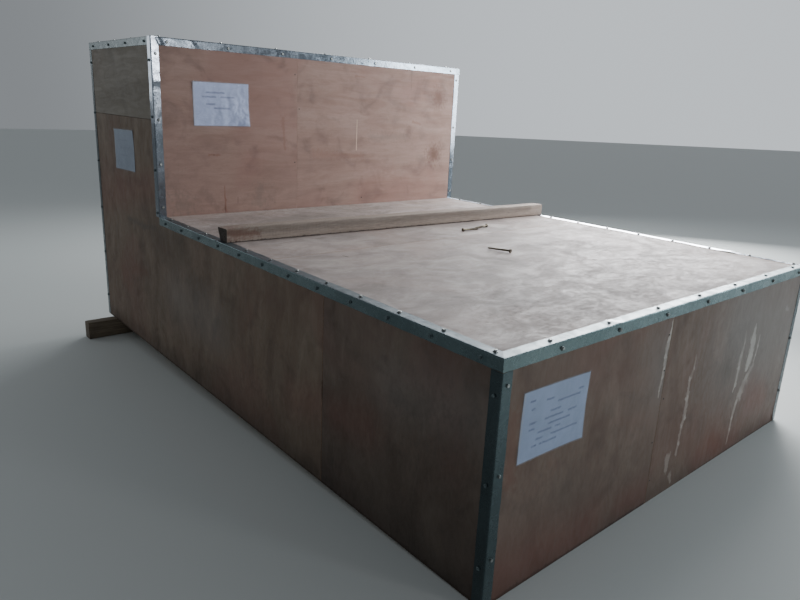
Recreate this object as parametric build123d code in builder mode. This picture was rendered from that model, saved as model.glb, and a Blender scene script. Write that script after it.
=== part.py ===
"""Stepped plywood shipping crate, propped at its rear end on a cross timber.

The crate is drawn in its own directions: x across its width from the left side,
y along its length from the low near end, z up from its underside. The whole
crate leans on the plane called base, which rises towards the rear, because the
near end stands on the ground and the rear end on the timber.
"""
from build123d import *
from math import atan, cos, degrees, radians, sin, tan
import os

# Outside sizes of the crate
crate_width = 2020.0
crate_length = 3220.0
low_length = 2280.0
low_height = 750.0
tall_height = 1600.0

# Plywood
wall_ply = 12.0
deck_ply = 18.0
sheet_width = 1220.0
seam_gap = 2.0
side_seam_reach = 808.0
near_seam_reach = 858.0

# Frame timbers inside
runner_width = 80.0
runner_height = 90.0
rail_height = 60.0
rail_depth = 40.0
beam_height = 80.0

# Folded steel edge angles
angle_leg = 38.0
angle_gauge = 1.0
fold_radius = 0.8
corner_foot_gap = 6.0
joint_gap = 1.0
step_angle_joint_height = 1205.0
step_angle_lap = 30.0

# Hexagon screws that hold the angles
screw_head_flats = 9.5
screw_head_height = 6.0
screw_line = 20.0
screw_pitch = 305.0
close_screw_pitch = 195.0
post_screw_pitch = 260.0
screw_end_margin = 77.0
screw_stagger = 30.0
near_screw_start = 240.0
post_screw_margin = 38.0
post_screw_foot = 155.0
step_screw_rise = 50.0
joint_screw_rise = 17.0

# Paper sheets in clear pouches
paper_width = 297.0
paper_height = 210.0
paper_thickness = 0.5
near_paper_inset = 242.0
near_paper_drop = 226.0
near_paper_turn = -1.1
step_paper_inset = 345.0
step_paper_drop = 294.0
step_paper_turn = 0.4
side_paper_shift = -18.0
side_paper_drop = 555.0
side_paper_turn = -1.2

# Loose batten that lies across the low lid
batten_length = 2000.0
batten_width = 70.0
batten_height = 64.0
batten_centre = (1016.0, 1560.0)
batten_turn = -2.3
timber_arris = 3.0

# Cross timber under the rear end
prop_width = 75.0
prop_height = 100.0
prop_setback = 156.0
prop_left_overhang = 166.0
prop_right_overhang = 7.0

# Loose coach screws that lie on the low lid
coach_shank_radius = 5.0
coach_shank_length = 112.0
coach_head_flats = 17.0
coach_head_height = 7.0
coach_tip_length = 14.0
coach_tip_radius = 1.0
lid_clearance = 0.3
coach_screw_seats = ((1171.0, 1310.0), (1376.0, 1346.0), (993.0, 848.0))
coach_screw_turns = (0.0, 190.0, 104.0)

# The crate's own directions
prop_reach = crate_length - prop_setback
tilt = degrees(atan(prop_height / (prop_reach + timber_arris)))
base = Plane.XY.rotated((tilt, 0, 0))


def level(height):
    """Plane parallel to the underside, facing up, drawn in (x, y)."""
    return base.offset(height)


def across(reach):
    """Plane parallel to the near end, facing the near end, drawn in (x, z)."""
    return Plane(base.from_local_coords((0, reach, 0)), x_dir=base.x_dir, z_dir=-base.y_dir)


def along(reach):
    """Plane parallel to the left side, facing right, drawn in (y, z)."""
    return Plane(base.from_local_coords((reach, 0, 0)), x_dir=base.y_dir, z_dir=base.x_dir)


# Heights and reaches that several pieces share
inner_width = crate_width - 2 * wall_ply
deck_top = runner_height + deck_ply
low_sheet_top = low_height - wall_ply
tall_sheet_top = tall_height - wall_ply
low_rail_foot = low_sheet_top - rail_height
tall_rail_foot = tall_sheet_top - rail_height
step_inside = low_length + wall_ply
back_inside = crate_length - wall_ply
step_seam_reach = crate_width - wall_ply - sheet_width
side_stud_start = side_seam_reach - rail_height / 2

pieces = {}


def keep(piece, name):
    """Label a finished piece and keep it for export."""
    piece.part.label = name
    pieces[name] = piece.part


def board(name, plane, corner, size, thickness):
    """Flat rectangular board: its face is drawn on a plane and thickened."""
    with BuildPart() as piece:
        with BuildSketch(plane):
            with Locations(corner):
                Rectangle(*size, align=Align.MIN)
        extrude(amount=thickness)
    keep(piece, name)


def upright(name, start, section, foot, top):
    """Standing timber between two heights."""
    board(name, level(foot), start, section, top - foot)


def cross_rail(name, reach, foot, span, section):
    """Timber that runs across the width, with its near face at a given reach."""
    with BuildPart() as piece:
        with BuildSketch(along(span[0])):
            with Locations((reach, foot)):
                Rectangle(*section, align=Align.MIN)
        extrude(amount=span[1] - span[0])
    keep(piece, name)


def long_rail(name, start, foot, span, section):
    """Timber that runs along the length, with its left face at a given reach."""
    with BuildPart() as piece:
        with BuildSketch(across(span[1])):
            with Locations((start, foot)):
                Rectangle(*section, align=Align.MIN)
        extrude(amount=span[1] - span[0])
    keep(piece, name)


# Base: three runners carry three deck sheets laid across them
runner_starts = {
    "left": wall_ply,
    "middle": (crate_width - runner_width) / 2,
    "right": crate_width - wall_ply - runner_width,
}
for side, start in runner_starts.items():
    long_rail(f"runner_{side}", start, 0, (wall_ply, back_inside), (runner_width, runner_height))

deck_seams = [wall_ply, wall_ply + sheet_width, wall_ply + 2 * sheet_width, back_inside]
for index, place in enumerate(("near", "middle", "rear")):
    deck_start = deck_seams[index]
    deck_reach = deck_seams[index + 1] - deck_start
    if place != "rear":
        deck_reach -= seam_gap
    board(f"deck_{place}", level(runner_height), (wall_ply, deck_start), (inner_width, deck_reach), deck_ply)

# Side walls: a near sheet, a notched full sheet that follows the step, and a top strip
side_sheet_start = side_seam_reach + seam_gap
notched_outline = [
    (side_sheet_start, 0),
    (crate_length, 0),
    (crate_length, sheet_width),
    (low_length, sheet_width),
    (low_length, low_sheet_top),
    (side_sheet_start, low_sheet_top),
]
for side, face in (("left", 0), ("right", crate_width - wall_ply)):
    board(f"side_{side}_near_sheet", along(face), (0, 0), (side_seam_reach, low_sheet_top), wall_ply)
    with BuildPart() as notched_sheet:
        with BuildSketch(along(face)):
            with BuildLine():
                Polyline(*notched_outline, close=True)
            make_face()
        extrude(amount=wall_ply)
    keep(notched_sheet, f"side_{side}_step_sheet")
    strip_foot = sheet_width + seam_gap
    strip_size = (crate_length - low_length, tall_sheet_top - strip_foot)
    board(f"side_{side}_top_sheet", along(face), (low_length, strip_foot), strip_size, wall_ply)


def end_wall(name, outside, seam, foot, top):
    """Two sheets side by side across the width, parted by a seam, between the side walls."""
    left_size = (seam - wall_ply, top - foot)
    right_start = seam + seam_gap
    right_size = (crate_width - wall_ply - right_start, top - foot)
    board(f"{name}_left_sheet", across(outside + wall_ply), (wall_ply, foot), left_size, wall_ply)
    board(f"{name}_right_sheet", across(outside + wall_ply), (right_start, foot), right_size, wall_ply)


end_wall("near_end", 0, near_seam_reach, 0, low_sheet_top)
end_wall("step_face", low_length, step_seam_reach, low_sheet_top, tall_sheet_top)
end_wall("back_end", back_inside, step_seam_reach, 0, tall_sheet_top)

# Lids: two sheets on the low part, one on the tall part
board("low_lid_near_sheet", level(low_sheet_top), (0, 0), (crate_width, sheet_width), wall_ply)
lid_seam = sheet_width + seam_gap
rear_lid_size = (crate_width, low_length - lid_seam)
board("low_lid_rear_sheet", level(low_sheet_top), (0, lid_seam), rear_lid_size, wall_ply)
tall_lid_size = (crate_width, crate_length - low_length)
board("tall_lid_sheet", level(tall_sheet_top), (0, low_length), tall_lid_size, wall_ply)

# Corner posts and rails behind the sheets
post_section = (rail_height, rail_depth)
right_post_start = crate_width - wall_ply - rail_height
right_rail_start = crate_width - wall_ply - rail_depth
rail_section = (rail_depth, rail_height)
full_span = (wall_ply, crate_width - wall_ply)
back_rail_reach = back_inside - rail_depth
near_rail_back = wall_ply + rail_depth

for side, start in (("left", wall_ply), ("right", right_post_start)):
    upright(f"near_post_{side}", (start, wall_ply), post_section, deck_top, low_rail_foot)
    upright(f"step_post_{side}", (start, step_inside), post_section, deck_top, tall_rail_foot)
    upright(f"back_post_{side}", (start, back_rail_reach), post_section, deck_top, tall_rail_foot)

cross_rail("near_top_rail", wall_ply, low_rail_foot, full_span, rail_section)
cross_rail("step_top_rail", step_inside, tall_rail_foot, full_span, rail_section)
cross_rail("back_top_rail", back_rail_reach, tall_rail_foot, full_span, rail_section)

for side, start in (("left", wall_ply), ("right", right_rail_start)):
    low_span = (near_rail_back, step_inside)
    tall_span = (step_inside + rail_depth, back_rail_reach)
    long_rail(f"{side}_low_rail", start, low_rail_foot, low_span, rail_section)
    long_rail(f"{side}_tall_rail", start, tall_rail_foot, tall_span, rail_section)
    stud_corner = (start, side_stud_start)
    upright(f"{side}_seam_stud", stud_corner, (rail_depth, rail_height), deck_top, low_rail_foot)

# Studs behind the seams of the end walls, and the timbers that carry the low lid
near_stud_corner = (near_seam_reach - rail_height / 2, wall_ply)
upright("near_seam_stud", near_stud_corner, post_section, deck_top, low_rail_foot)
back_stud_corner = (step_seam_reach - rail_height / 2, back_rail_reach)
upright("back_seam_stud", back_stud_corner, post_section, deck_top, tall_rail_foot)

beam_foot = low_sheet_top - beam_height
between_rails = (wall_ply + rail_depth, right_rail_start)
beam_section = (rail_depth, beam_height)
cross_rail("step_beam", step_inside - rail_depth, beam_foot, between_rails, beam_section)
step_stud_corner = (step_seam_reach - rail_height / 2, step_inside)
upright("step_seam_stud", step_stud_corner, post_section, beam_foot, tall_rail_foot)
joist_reach = sheet_width - rail_height / 2
cross_rail("low_lid_joist", joist_reach, low_rail_foot, between_rails, (rail_height, rail_height))


# Outer corners of the folded angles, one gauge outside the plywood
left_corner = -angle_gauge
right_corner = crate_width + angle_gauge
near_corner = -angle_gauge
step_corner = low_length - angle_gauge
back_corner = crate_length + angle_gauge
low_corner = low_height + angle_gauge
tall_corner = tall_height + angle_gauge
low_leg_foot = low_corner - angle_leg - joint_gap
tall_leg_foot = tall_corner - angle_leg - joint_gap


def mitre(corner, turn_x, turn_y):
    """Upright plane through a plan corner, facing half way between two of the crate's directions."""
    origin = base.from_local_coords((corner[0], corner[1], 0))
    facing = base.x_dir * turn_x + base.y_dir * turn_y
    return Plane(origin, x_dir=base.z_dir, z_dir=facing)


def edge_angle(name, plane, corner, first, second, length, mitres=()):
    """Folded steel angle: first and second say which way its legs run from the outer corner."""
    x, y = corner
    outline = [
        (x, y),
        (x + first * angle_leg, y),
        (x + first * angle_leg, y + second * angle_gauge),
        (x + first * angle_gauge, y + second * angle_gauge),
        (x + first * angle_gauge, y + second * angle_leg),
        (x, y + second * angle_leg),
    ]
    with BuildPart() as strip:
        with BuildSketch(plane):
            with BuildLine():
                Polyline(*outline, close=True)
            make_face()
        extrude(amount=length)
        fold_edges = strip.edges().sort_by(SortBy.LENGTH)[-6:]
        outer_point = plane.from_local_coords((x, y, length / 2))
        fillet(fold_edges.sort_by_distance(outer_point)[0], fold_radius)
        for cut in mitres:
            split(bisect_by=cut, keep=Keep.TOP)
    keep(strip, name)


# Angles along the top edges, mitred where two of them meet
width_over_angles = right_corner - left_corner
near_cuts = (mitre((left_corner, near_corner), 1, -1), mitre((right_corner, near_corner), -1, -1))
near_edge = (near_corner, low_corner)
edge_angle("near_top_angle", along(left_corner), near_edge, 1, -1, width_over_angles, near_cuts)

low_angle_length = step_corner - near_corner
tall_angle_length = back_corner - step_corner
step_edge = (step_corner, tall_corner)
back_edge = (back_corner, tall_corner)
step_cuts = (mitre((left_corner, step_corner), 1, -1), mitre((right_corner, step_corner), -1, -1))
back_cuts = (mitre((left_corner, back_corner), 1, 1), mitre((right_corner, back_corner), -1, 1))
edge_angle("step_top_angle", along(left_corner), step_edge, 1, -1, width_over_angles, step_cuts)
edge_angle("back_top_angle", along(left_corner), back_edge, -1, -1, width_over_angles, back_cuts)

for side, corner, inward in (("left", left_corner, 1), ("right", right_corner, -1)):
    low_cuts = (mitre((corner, near_corner), -inward, 1),)
    tall_cuts = (mitre((corner, step_corner), -inward, 1), mitre((corner, back_corner), -inward, -1))
    low_edge = (corner, low_corner)
    tall_edge = (corner, tall_corner)
    low_end = across(step_corner)
    tall_end = across(back_corner)
    edge_angle(f"low_{side}_angle", low_end, low_edge, inward, -1, low_angle_length, low_cuts)
    edge_angle(f"tall_{side}_angle", tall_end, tall_edge, inward, -1, tall_angle_length, tall_cuts)

    # Upright angles: near corner, step corner and back corner of each side
    near_length = low_leg_foot - corner_foot_gap
    back_length = tall_leg_foot - corner_foot_gap
    foot = level(corner_foot_gap)
    edge_angle(f"near_{side}_angle", foot, (corner, near_corner), inward, 1, near_length)
    edge_angle(f"back_{side}_angle", foot, (corner, back_corner), inward, -1, back_length)

# The step corner's right angle is in one length. Its left angle is in two: the upper one laps
# over the lower one and over the ends of the two top angles
lap_left = left_corner - angle_gauge
lap_step = step_corner - angle_gauge
upper_foot = step_angle_joint_height
upper_length = tall_corner - upper_foot
lower_length = upper_foot + step_angle_lap - low_height
edge_angle("step_left_upper_angle", level(upper_foot), (lap_left, lap_step), 1, 1, upper_length)
edge_angle("step_left_lower_angle", level(low_height), (left_corner, step_corner), 1, 1, lower_length)
step_right_length = tall_leg_foot - low_height
edge_angle("step_right_angle", level(low_height), (right_corner, step_corner), -1, 1, step_right_length)


# Screw heads along both legs of every angle
def spaced(first, last, pitch):
    """Places from first to last, evenly spaced and about one pitch apart."""
    count = max(1, round((last - first) / pitch))
    return [first + (last - first) * index / count for index in range(count + 1)]


def staggered(spots):
    """The same places moved back a little, for the other leg of an angle."""
    return [spot - screw_stagger for spot in spots]


def batten_line(x):
    """Reach of the loose batten's centre line at x."""
    return batten_centre[1] + (x - batten_centre[0]) * tan(radians(batten_turn))


def beside_batten(x, y):
    """Whether a screw at this place stands clear of the loose batten."""
    return abs(y - batten_line(x)) > batten_width / 2 + screw_head_flats


near_line = screw_line
step_line = low_length + screw_line
back_line = crate_length - screw_line
low_line = low_height - screw_line
tall_line = tall_height - screw_line
near_spots = spaced(near_screw_start, crate_width - screw_end_margin, screw_pitch)
cross_spots = spaced(screw_end_margin, crate_width - screw_end_margin, screw_pitch)
low_spots = spaced(screw_end_margin, low_length - screw_end_margin, close_screw_pitch)
tall_spots = spaced(low_length + screw_end_margin, crate_length - screw_end_margin, screw_pitch)
near_post_spots = spaced(post_screw_foot, low_leg_foot - post_screw_margin, post_screw_pitch)
back_post_spots = spaced(post_screw_foot, tall_leg_foot - post_screw_margin, post_screw_pitch)
joint_spot = upper_foot + joint_screw_rise
lower_step_spots = spaced(low_height + step_screw_rise, joint_spot, post_screw_pitch)[:-1]
top_step_spot = tall_leg_foot - post_screw_margin
upper_step_spots = [joint_spot, top_step_spot]
upper_side_spots = [upper_foot + step_angle_lap, top_step_spot - screw_stagger]

screw_rows = [
    (across(near_corner), 1, [(x, low_line) for x in near_spots]),
    (level(low_corner), 1, [(x, near_line) for x in staggered(near_spots)]),
    (across(step_corner), 1, [(x, tall_line) for x in cross_spots]),
    (level(tall_corner), 1, [(x, step_line) for x in staggered(cross_spots)]),
    (level(tall_corner), 1, [(x, back_line) for x in staggered(cross_spots)]),
    (across(back_corner), -1, [(x, tall_line) for x in cross_spots]),
]
right_screw_line = crate_width - screw_line
for side_face, outward, line in (
    (along(left_corner), -1, screw_line),
    (along(right_corner), 1, right_screw_line),
):
    screw_rows += [
        (level(low_corner), 1, [(line, y) for y in staggered(low_spots) if beside_batten(line, y)]),
        (side_face, outward, [(y, low_line) for y in low_spots]),
        (level(tall_corner), 1, [(line, y) for y in staggered(tall_spots)]),
        (side_face, outward, [(y, tall_line) for y in tall_spots]),
        (across(near_corner), 1, [(line, z) for z in near_post_spots]),
        (side_face, outward, [(near_line, z) for z in staggered(near_post_spots)]),
        (across(step_corner), 1, [(line, z) for z in lower_step_spots]),
        (side_face, outward, [(step_line, z) for z in staggered(lower_step_spots)]),
        (across(back_corner), -1, [(line, z) for z in back_post_spots]),
        (side_face, outward, [(back_line, z) for z in staggered(back_post_spots)]),
    ]
screw_rows += [
    (across(lap_step), 1, [(screw_line, z) for z in upper_step_spots]),
    (along(lap_left), -1, [(step_line, z) for z in upper_side_spots]),
    (across(step_corner), 1, [(right_screw_line, z) for z in upper_step_spots]),
    (along(right_corner), 1, [(step_line, z) for z in upper_side_spots]),
]

with BuildPart() as strip_screws:
    for face, outward, spots in screw_rows:
        with BuildSketch(face):
            with Locations(*spots):
                RegularPolygon(screw_head_flats / 2, 6, major_radius=False)
        extrude(amount=outward * screw_head_height)
keep(strip_screws, "strip_screws")

# Paper sheets on the near end, the step face and the left side
side_paper_reach = (low_length + crate_length) / 2 + side_paper_shift
with BuildPart() as paper_sheets:
    with BuildSketch(across(0)):
        with Locations((near_paper_inset, low_height - near_paper_drop)):
            Rectangle(paper_width, paper_height, rotation=near_paper_turn)
    extrude(amount=paper_thickness)
    with BuildSketch(across(low_length)):
        with Locations((step_paper_inset, tall_height - step_paper_drop)):
            Rectangle(paper_width, paper_height, rotation=step_paper_turn)
    extrude(amount=paper_thickness)
    with BuildSketch(along(0)):
        with Locations((side_paper_reach, tall_height - side_paper_drop)):
            Rectangle(paper_width, paper_height, rotation=side_paper_turn)
    extrude(amount=-paper_thickness)
keep(paper_sheets, "paper_sheets")

# Loose batten, resting on the two angles of the low lid
with BuildPart() as loose_batten:
    with BuildSketch(level(low_corner)):
        with Locations(batten_centre):
            Rectangle(batten_length, batten_width, rotation=batten_turn)
    extrude(amount=batten_height)
    chamfer(loose_batten.edges().sort_by(SortBy.LENGTH)[-4:], timber_arris)
keep(loose_batten, "loose_batten")

# Cross timber on the ground, which carries the rear end at its near upper edge
prop_length = prop_left_overhang + crate_width + prop_right_overhang
with BuildPart() as rear_prop:
    with BuildSketch(Plane.XY):
        with Locations((-prop_left_overhang, prop_reach)):
            Rectangle(prop_length, prop_width, align=Align.MIN)
    extrude(amount=prop_height)
    chamfer(rear_prop.edges().sort_by(SortBy.LENGTH)[-4:], timber_arris)
keep(rear_prop, "rear_prop")

# Loose coach screws: a hexagon head and a pointed shank that droops to the lid
shank_droop = atan((coach_head_flats / 2 - coach_shank_radius) / coach_shank_length)
shank_outline = [
    (0, 0),
    (coach_shank_radius, 0),
    (coach_shank_radius, coach_shank_length - coach_tip_length),
    (coach_tip_radius, coach_shank_length),
    (0, coach_shank_length),
]
with BuildPart() as coach_screw_group:
    for (screw_x, screw_y), turn in zip(coach_screw_seats, coach_screw_turns):
        axis_height = low_height + coach_head_flats / 2 + lid_clearance
        heading = base.x_dir * cos(radians(turn)) + base.y_dir * sin(radians(turn))
        aim = heading * cos(shank_droop) - base.z_dir * sin(shank_droop)
        flat_dir = base.z_dir.cross(heading)
        seat_point = base.from_local_coords((screw_x, screw_y, axis_height))
        seat = Plane(seat_point, x_dir=flat_dir, z_dir=aim)
        with BuildSketch(seat):
            RegularPolygon(coach_head_flats / 2, 6, major_radius=False)
        extrude(amount=-coach_head_height)
        with BuildSketch(Plane(seat_point, x_dir=flat_dir, z_dir=flat_dir.cross(aim))):
            with BuildLine():
                Polyline(*shank_outline, close=True)
            make_face()
        revolve(axis=Axis(seat_point, aim))
keep(coach_screw_group, "coach_screws")

# The origin is the middle of the whole assembly's footprint, on the ground
outer_box = Compound(list(pieces.values())).bounding_box()
middle = outer_box.center()
to_origin = Location((-middle.X, -middle.Y, -outer_box.min.Z))

os.makedirs("parts", exist_ok=True)
for name, solid in pieces.items():
    placed = solid.moved(to_origin)
    placed.label = name
    export_step(placed, f"parts/{name}.step")
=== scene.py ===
"""Looks of a stepped plywood shipping crate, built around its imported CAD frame.

Sizes with no unit in their name are millimetres in the crate's own directions: x across
its width from the left side, y along its length from the low near end, z up from its
underside. CrateFrame measures the frame in them and turns them into the frame's metres.
"""

import logging
import math
from dataclasses import dataclass, field, replace
from enum import Enum
from typing import Any, Iterable, Sequence, Union

import bpy
import numpy as np
from mathutils import Matrix, Vector, noise


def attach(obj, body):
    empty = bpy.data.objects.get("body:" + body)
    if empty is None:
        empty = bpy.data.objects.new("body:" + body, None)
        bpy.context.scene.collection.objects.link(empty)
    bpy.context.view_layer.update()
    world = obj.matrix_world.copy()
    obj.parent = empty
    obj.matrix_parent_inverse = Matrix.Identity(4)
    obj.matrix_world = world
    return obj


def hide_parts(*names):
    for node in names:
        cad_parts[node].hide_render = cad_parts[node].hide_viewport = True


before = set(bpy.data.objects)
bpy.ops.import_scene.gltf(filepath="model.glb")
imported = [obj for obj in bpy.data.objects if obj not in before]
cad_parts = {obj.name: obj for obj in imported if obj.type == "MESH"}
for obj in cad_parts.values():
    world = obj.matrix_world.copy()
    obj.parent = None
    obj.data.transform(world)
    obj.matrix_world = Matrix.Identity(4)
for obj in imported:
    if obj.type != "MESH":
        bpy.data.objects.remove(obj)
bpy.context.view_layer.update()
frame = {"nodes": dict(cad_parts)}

LOG = logging.getLogger("crate")
METRES = 0.001

Colour = tuple[float, float, float]
Faces = list[tuple[int, ...]]
Material = bpy.types.Material
Pair = tuple[float, float]
Piece = bpy.types.Object
Socket = bpy.types.NodeSocket
Tones = tuple[Colour, ...]
Triple = tuple[float, float, float]
Value = Union[float, Sequence[float], Socket]


class Axis(Enum):
    """One of the crate's own directions."""

    X = 0
    Y = 1
    Z = 2


class Face(Enum):
    """Which way a sheet faces: the crate axes that its face is drawn in, then its normal."""

    END = (0, 2, 1)
    SIDE = (1, 2, 0)
    LID = (0, 1, 2)


def shown_as(*screens: Triple) -> Tones:
    """Turns colours as seen on a screen into the linear ones that shaders take.

    Args:
        *screens: Red, green and blue of each, 0 to 255.

    Returns:
        Linear red, green and blue of each, 0 to 1.
    """
    return tuple(tuple(((c / 255 + 0.055) / 1.055) ** 2.4 for c in screen) for screen in screens)


@dataclass(frozen=True)
class Span:
    """Lowest and highest corner of something, in crate millimetres."""

    low: Vector
    high: Vector

    @property
    def middle(self) -> Vector:
        """Point half way between the corners."""
        return (self.low + self.high) / 2


def span_of(points: Iterable[Vector]) -> Span:
    """Box round some points."""
    array = np.array([tuple(p) for p in points])
    return Span(Vector(array.min(axis=0)), Vector(array.max(axis=0)))


class CrateFrame:
    """The crate's own directions and sizes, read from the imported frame."""

    def __init__(self, nodes: dict[str, Piece]) -> None:
        """Finds the near left foot and the lean of the crate.

        Args:
            nodes: The frame's CAD objects by node name.
        """
        self.nodes = nodes
        points = [v.co.copy() for v in nodes["side_left_near_sheet"].data.vertices]
        foot = min(points, key=lambda p: (round(p.z, 4), round(p.x, 4)))
        far_foot = max(points, key=lambda p: (round(p.y, 4), -p.x))
        self.lean = math.atan2(far_foot.z - foot.z, far_foot.y - foot.y)
        turn = Matrix.Rotation(self.lean, 4, "X")
        self.matrix = Matrix.Translation(foot) @ turn @ Matrix.Scale(METRES, 4)
        self.inverse = self.matrix.inverted()

    def place(self, point: Sequence[float]) -> Vector:
        """Turns a point in crate millimetres into the frame's metres."""
        return self.matrix @ Vector(point)

    def heading(self, direction: Sequence[float]) -> Vector:
        """Turns a direction of the crate into one of the frame, at unit length."""
        return (self.matrix.to_3x3() @ Vector(direction)).normalized()

    def stand(self, seat: Vector, aim: Vector) -> Matrix:
        """Move that takes a thing made upright at the origin to a seat, pointing along aim."""
        return self.matrix @ Matrix.Translation(seat) @ aim.to_track_quat("Z", "Y").to_matrix().to_4x4()

    def points(self, node: str) -> list[Vector]:
        """Corners of a node's mesh, in crate millimetres."""
        return [self.inverse @ v.co for v in self.nodes[node].data.vertices]

    def span(self, node: str) -> Span:
        """Box of a node along the crate's own directions."""
        return span_of(self.points(node))

    def islands(self, node: str) -> list[list[Vector]]:
        """Corners of each separate solid of a node, in crate millimetres.

        Args:
            node: Name of the CAD node.

        Returns:
            One list of points for each solid.
        """
        points = self.points(node)
        places: dict[tuple[int, ...], int] = {}
        same = [places.setdefault(tuple(round(c * 100) for c in p), i) for i, p in enumerate(points)]
        owner = list(range(len(points)))

        def root(index: int) -> int:
            """Follows a point to the first point of its solid.

            Args:
                index: The point.

            Returns:
                The first point.
            """
            while owner[index] != index:
                index = owner[index]
            return index

        for edge in self.nodes[node].data.edges:
            first, second = (root(same[i]) for i in edge.vertices)
            owner[second] = first
        groups: dict[int, list[Vector]] = {}
        for index in set(same):
            groups.setdefault(root(index), []).append(points[index])
        return [groups[key] for key in sorted(groups)]


@dataclass(frozen=True)
class Pattern:
    """Cloudy pattern: how fine it is, its levels of detail and how far it is bent."""

    scale: float
    detail: float = 3.0
    bend: float = 0.0


class Recipe:
    """Builds the nodes of one material, a step at a time."""

    def __init__(self, name: str) -> None:
        """Starts a material with a principled shader.

        Args:
            name: Name of the material.
        """
        self.material = bpy.data.materials.new(name)
        self.material.use_nodes = True
        self.tree = self.material.node_tree
        self.tree.nodes.clear()
        output = self.tree.nodes.new("ShaderNodeOutputMaterial")
        self.shader = self.tree.nodes.new("ShaderNodeBsdfPrincipled")
        self.tree.links.new(self.shader.outputs["BSDF"], output.inputs["Surface"])

    def feed(self, node: bpy.types.Node, inputs: dict[Any, Value]) -> None:
        """Links or sets inputs of a node.

        Args:
            node: The node.
            inputs: Sockets or values, by the input's name or number.
        """
        for key, value in inputs.items():
            socket = node.inputs[key]
            if isinstance(value, Socket):
                self.tree.links.new(value, socket)
            elif isinstance(socket.default_value, float):
                socket.default_value = value
            else:
                socket.default_value = (*value, 1.0)[: len(socket.default_value)]

    def step(self, kind: str, inputs: dict[Any, Value], output: Any = 0, **settings: Any) -> Socket:
        """Adds a node.

        Args:
            kind: Node type, without its ShaderNode prefix.
            inputs: Sockets or values for its inputs, by name or number.
            output: Name or number of the output that is wanted.
            **settings: Properties of the node.

        Returns:
            That output.
        """
        node = self.tree.nodes.new("ShaderNode" + kind)
        for name, value in settings.items():
            setattr(node, name, value)
        self.feed(node, inputs)
        return node.outputs[output]

    def finish(self, **inputs: Value) -> Material:
        """Sets the shader's inputs, with underscores for spaces, and hands over the material."""
        self.feed(self.shader, {name.replace("_", " "): value for name, value in inputs.items()})
        return self.material

    def own_point(self, output: str = "Object") -> Socket:
        """Point being shaded: its place on the object in metres, or its UV."""
        return self.step("TexCoord", {}, output)

    def crate_point(self, crate: CrateFrame) -> Socket:
        """Point being shaded, in metres along the crate's own directions."""
        shift = Matrix.Rotation(-crate.lean, 3, "X") @ -crate.matrix.translation
        return self.turned(self.own_point(), (-crate.lean, 0, 0), shift)

    def turned(self, where: Socket, turn: Triple, shift: Sequence[float] = (0, 0, 0)) -> Socket:
        """Place turned about the origin, by radians about each axis, and then shifted."""
        return self.step("Mapping", {"Vector": where, "Location": shift, "Rotation": turn})

    def vector(self, operation: str, first: Value, second: Value, output: str = "Vector") -> Socket:
        """Vector arithmetic."""
        return self.step("VectorMath", {0: first, 1: second}, output, operation=operation)

    def maths(self, operation: str, first: Value, second: Value = 0.0) -> Socket:
        """Plain arithmetic."""
        return self.step("Math", {0: first, 1: second}, operation=operation)

    def split(self, vector: Socket) -> list[Socket]:
        """Components of a vector."""
        return list(self.step("SeparateXYZ", {0: vector}).node.outputs)

    def join(self, *parts: Socket) -> Socket:
        """Vector made of its components."""
        return self.step("CombineXYZ", dict(enumerate(parts)))

    def squeeze(self, where: Socket, grain: Axis, squash: float) -> Socket:
        """Place on which patterns are drawn out along the grain."""
        return self.vector("MULTIPLY", where, [squash if axis is grain else 1.0 for axis in Axis])

    def shifted(self, where: Socket, seed: float, step: Triple) -> Socket:
        """Place moved by a step for each unit of a seed, so that like pieces differ."""
        return self.vector("ADD", where, [seed * part for part in step])

    def noise(self, where: Socket, pattern: Pattern) -> Socket:
        """Value of a cloudy pattern, from 0 to 1 and mostly near a half."""
        inputs = {"Scale": pattern.scale, "Detail": pattern.detail, "Distortion": pattern.bend}
        return self.step("TexNoise", {"Vector": where, "Roughness": 0.55, **inputs})

    def remap(self, value: Socket, low: float, high: float, start: float, end: float) -> Socket:
        """Smooth step from start to end while a value goes from low to high."""
        inputs = {"Value": value, "From Min": low, "From Max": high, "To Min": start, "To Max": end}
        return self.step("MapRange", inputs, interpolation_type="SMOOTHSTEP")

    def ramp(self, value: Socket, *stops: tuple[float, Colour]) -> Socket:
        """Colour that changes along a value.

        Args:
            value: Place along the ramp.
            *stops: Position and colour of each stop.

        Returns:
            The colour.
        """
        socket = self.step("ValToRGB", {0: value})
        elements = socket.node.color_ramp.elements
        while len(elements) < len(stops):
            elements.new(1.0)
        for element, (position, colour) in zip(elements, stops):
            element.position = position
            element.color = (*colour, 1.0)
        return socket

    def blend(self, share: Value, under: Value, over: Value, how: str = "MIX") -> Socket:
        """Lays one colour over another by a share."""
        settings = {"data_type": "RGBA", "blend_type": how, "clamp_factor": True}
        return self.step("Mix", {0: share, 6: under, 7: over}, 2, **settings)

    def spread(
        self,
        colour: Value,
        over: Colour,
        value: Socket,
        low: float,
        high: float,
        most: float,
        how: str = "MIX",
    ) -> Socket:
        """Lays a colour over another by up to a share, as a value goes from low to high."""
        return self.blend(self.remap(value, low, high, 0.0, most), colour, over, how)

    def shade(
        self, colour: Value, value: Socket, low: float, high: float, start: float, end: float
    ) -> Socket:
        """Multiplies a colour by start to end, as a value goes from low to high."""
        return self.vector("MULTIPLY", colour, self.remap(value, low, high, start, end))

    def bump(self, height: Socket, distance: float, strength: float) -> Socket:
        """Surface normal bent by a height, over a distance in metres."""
        return self.step("Bump", {"Height": height, "Distance": distance, "Strength": strength})


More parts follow.
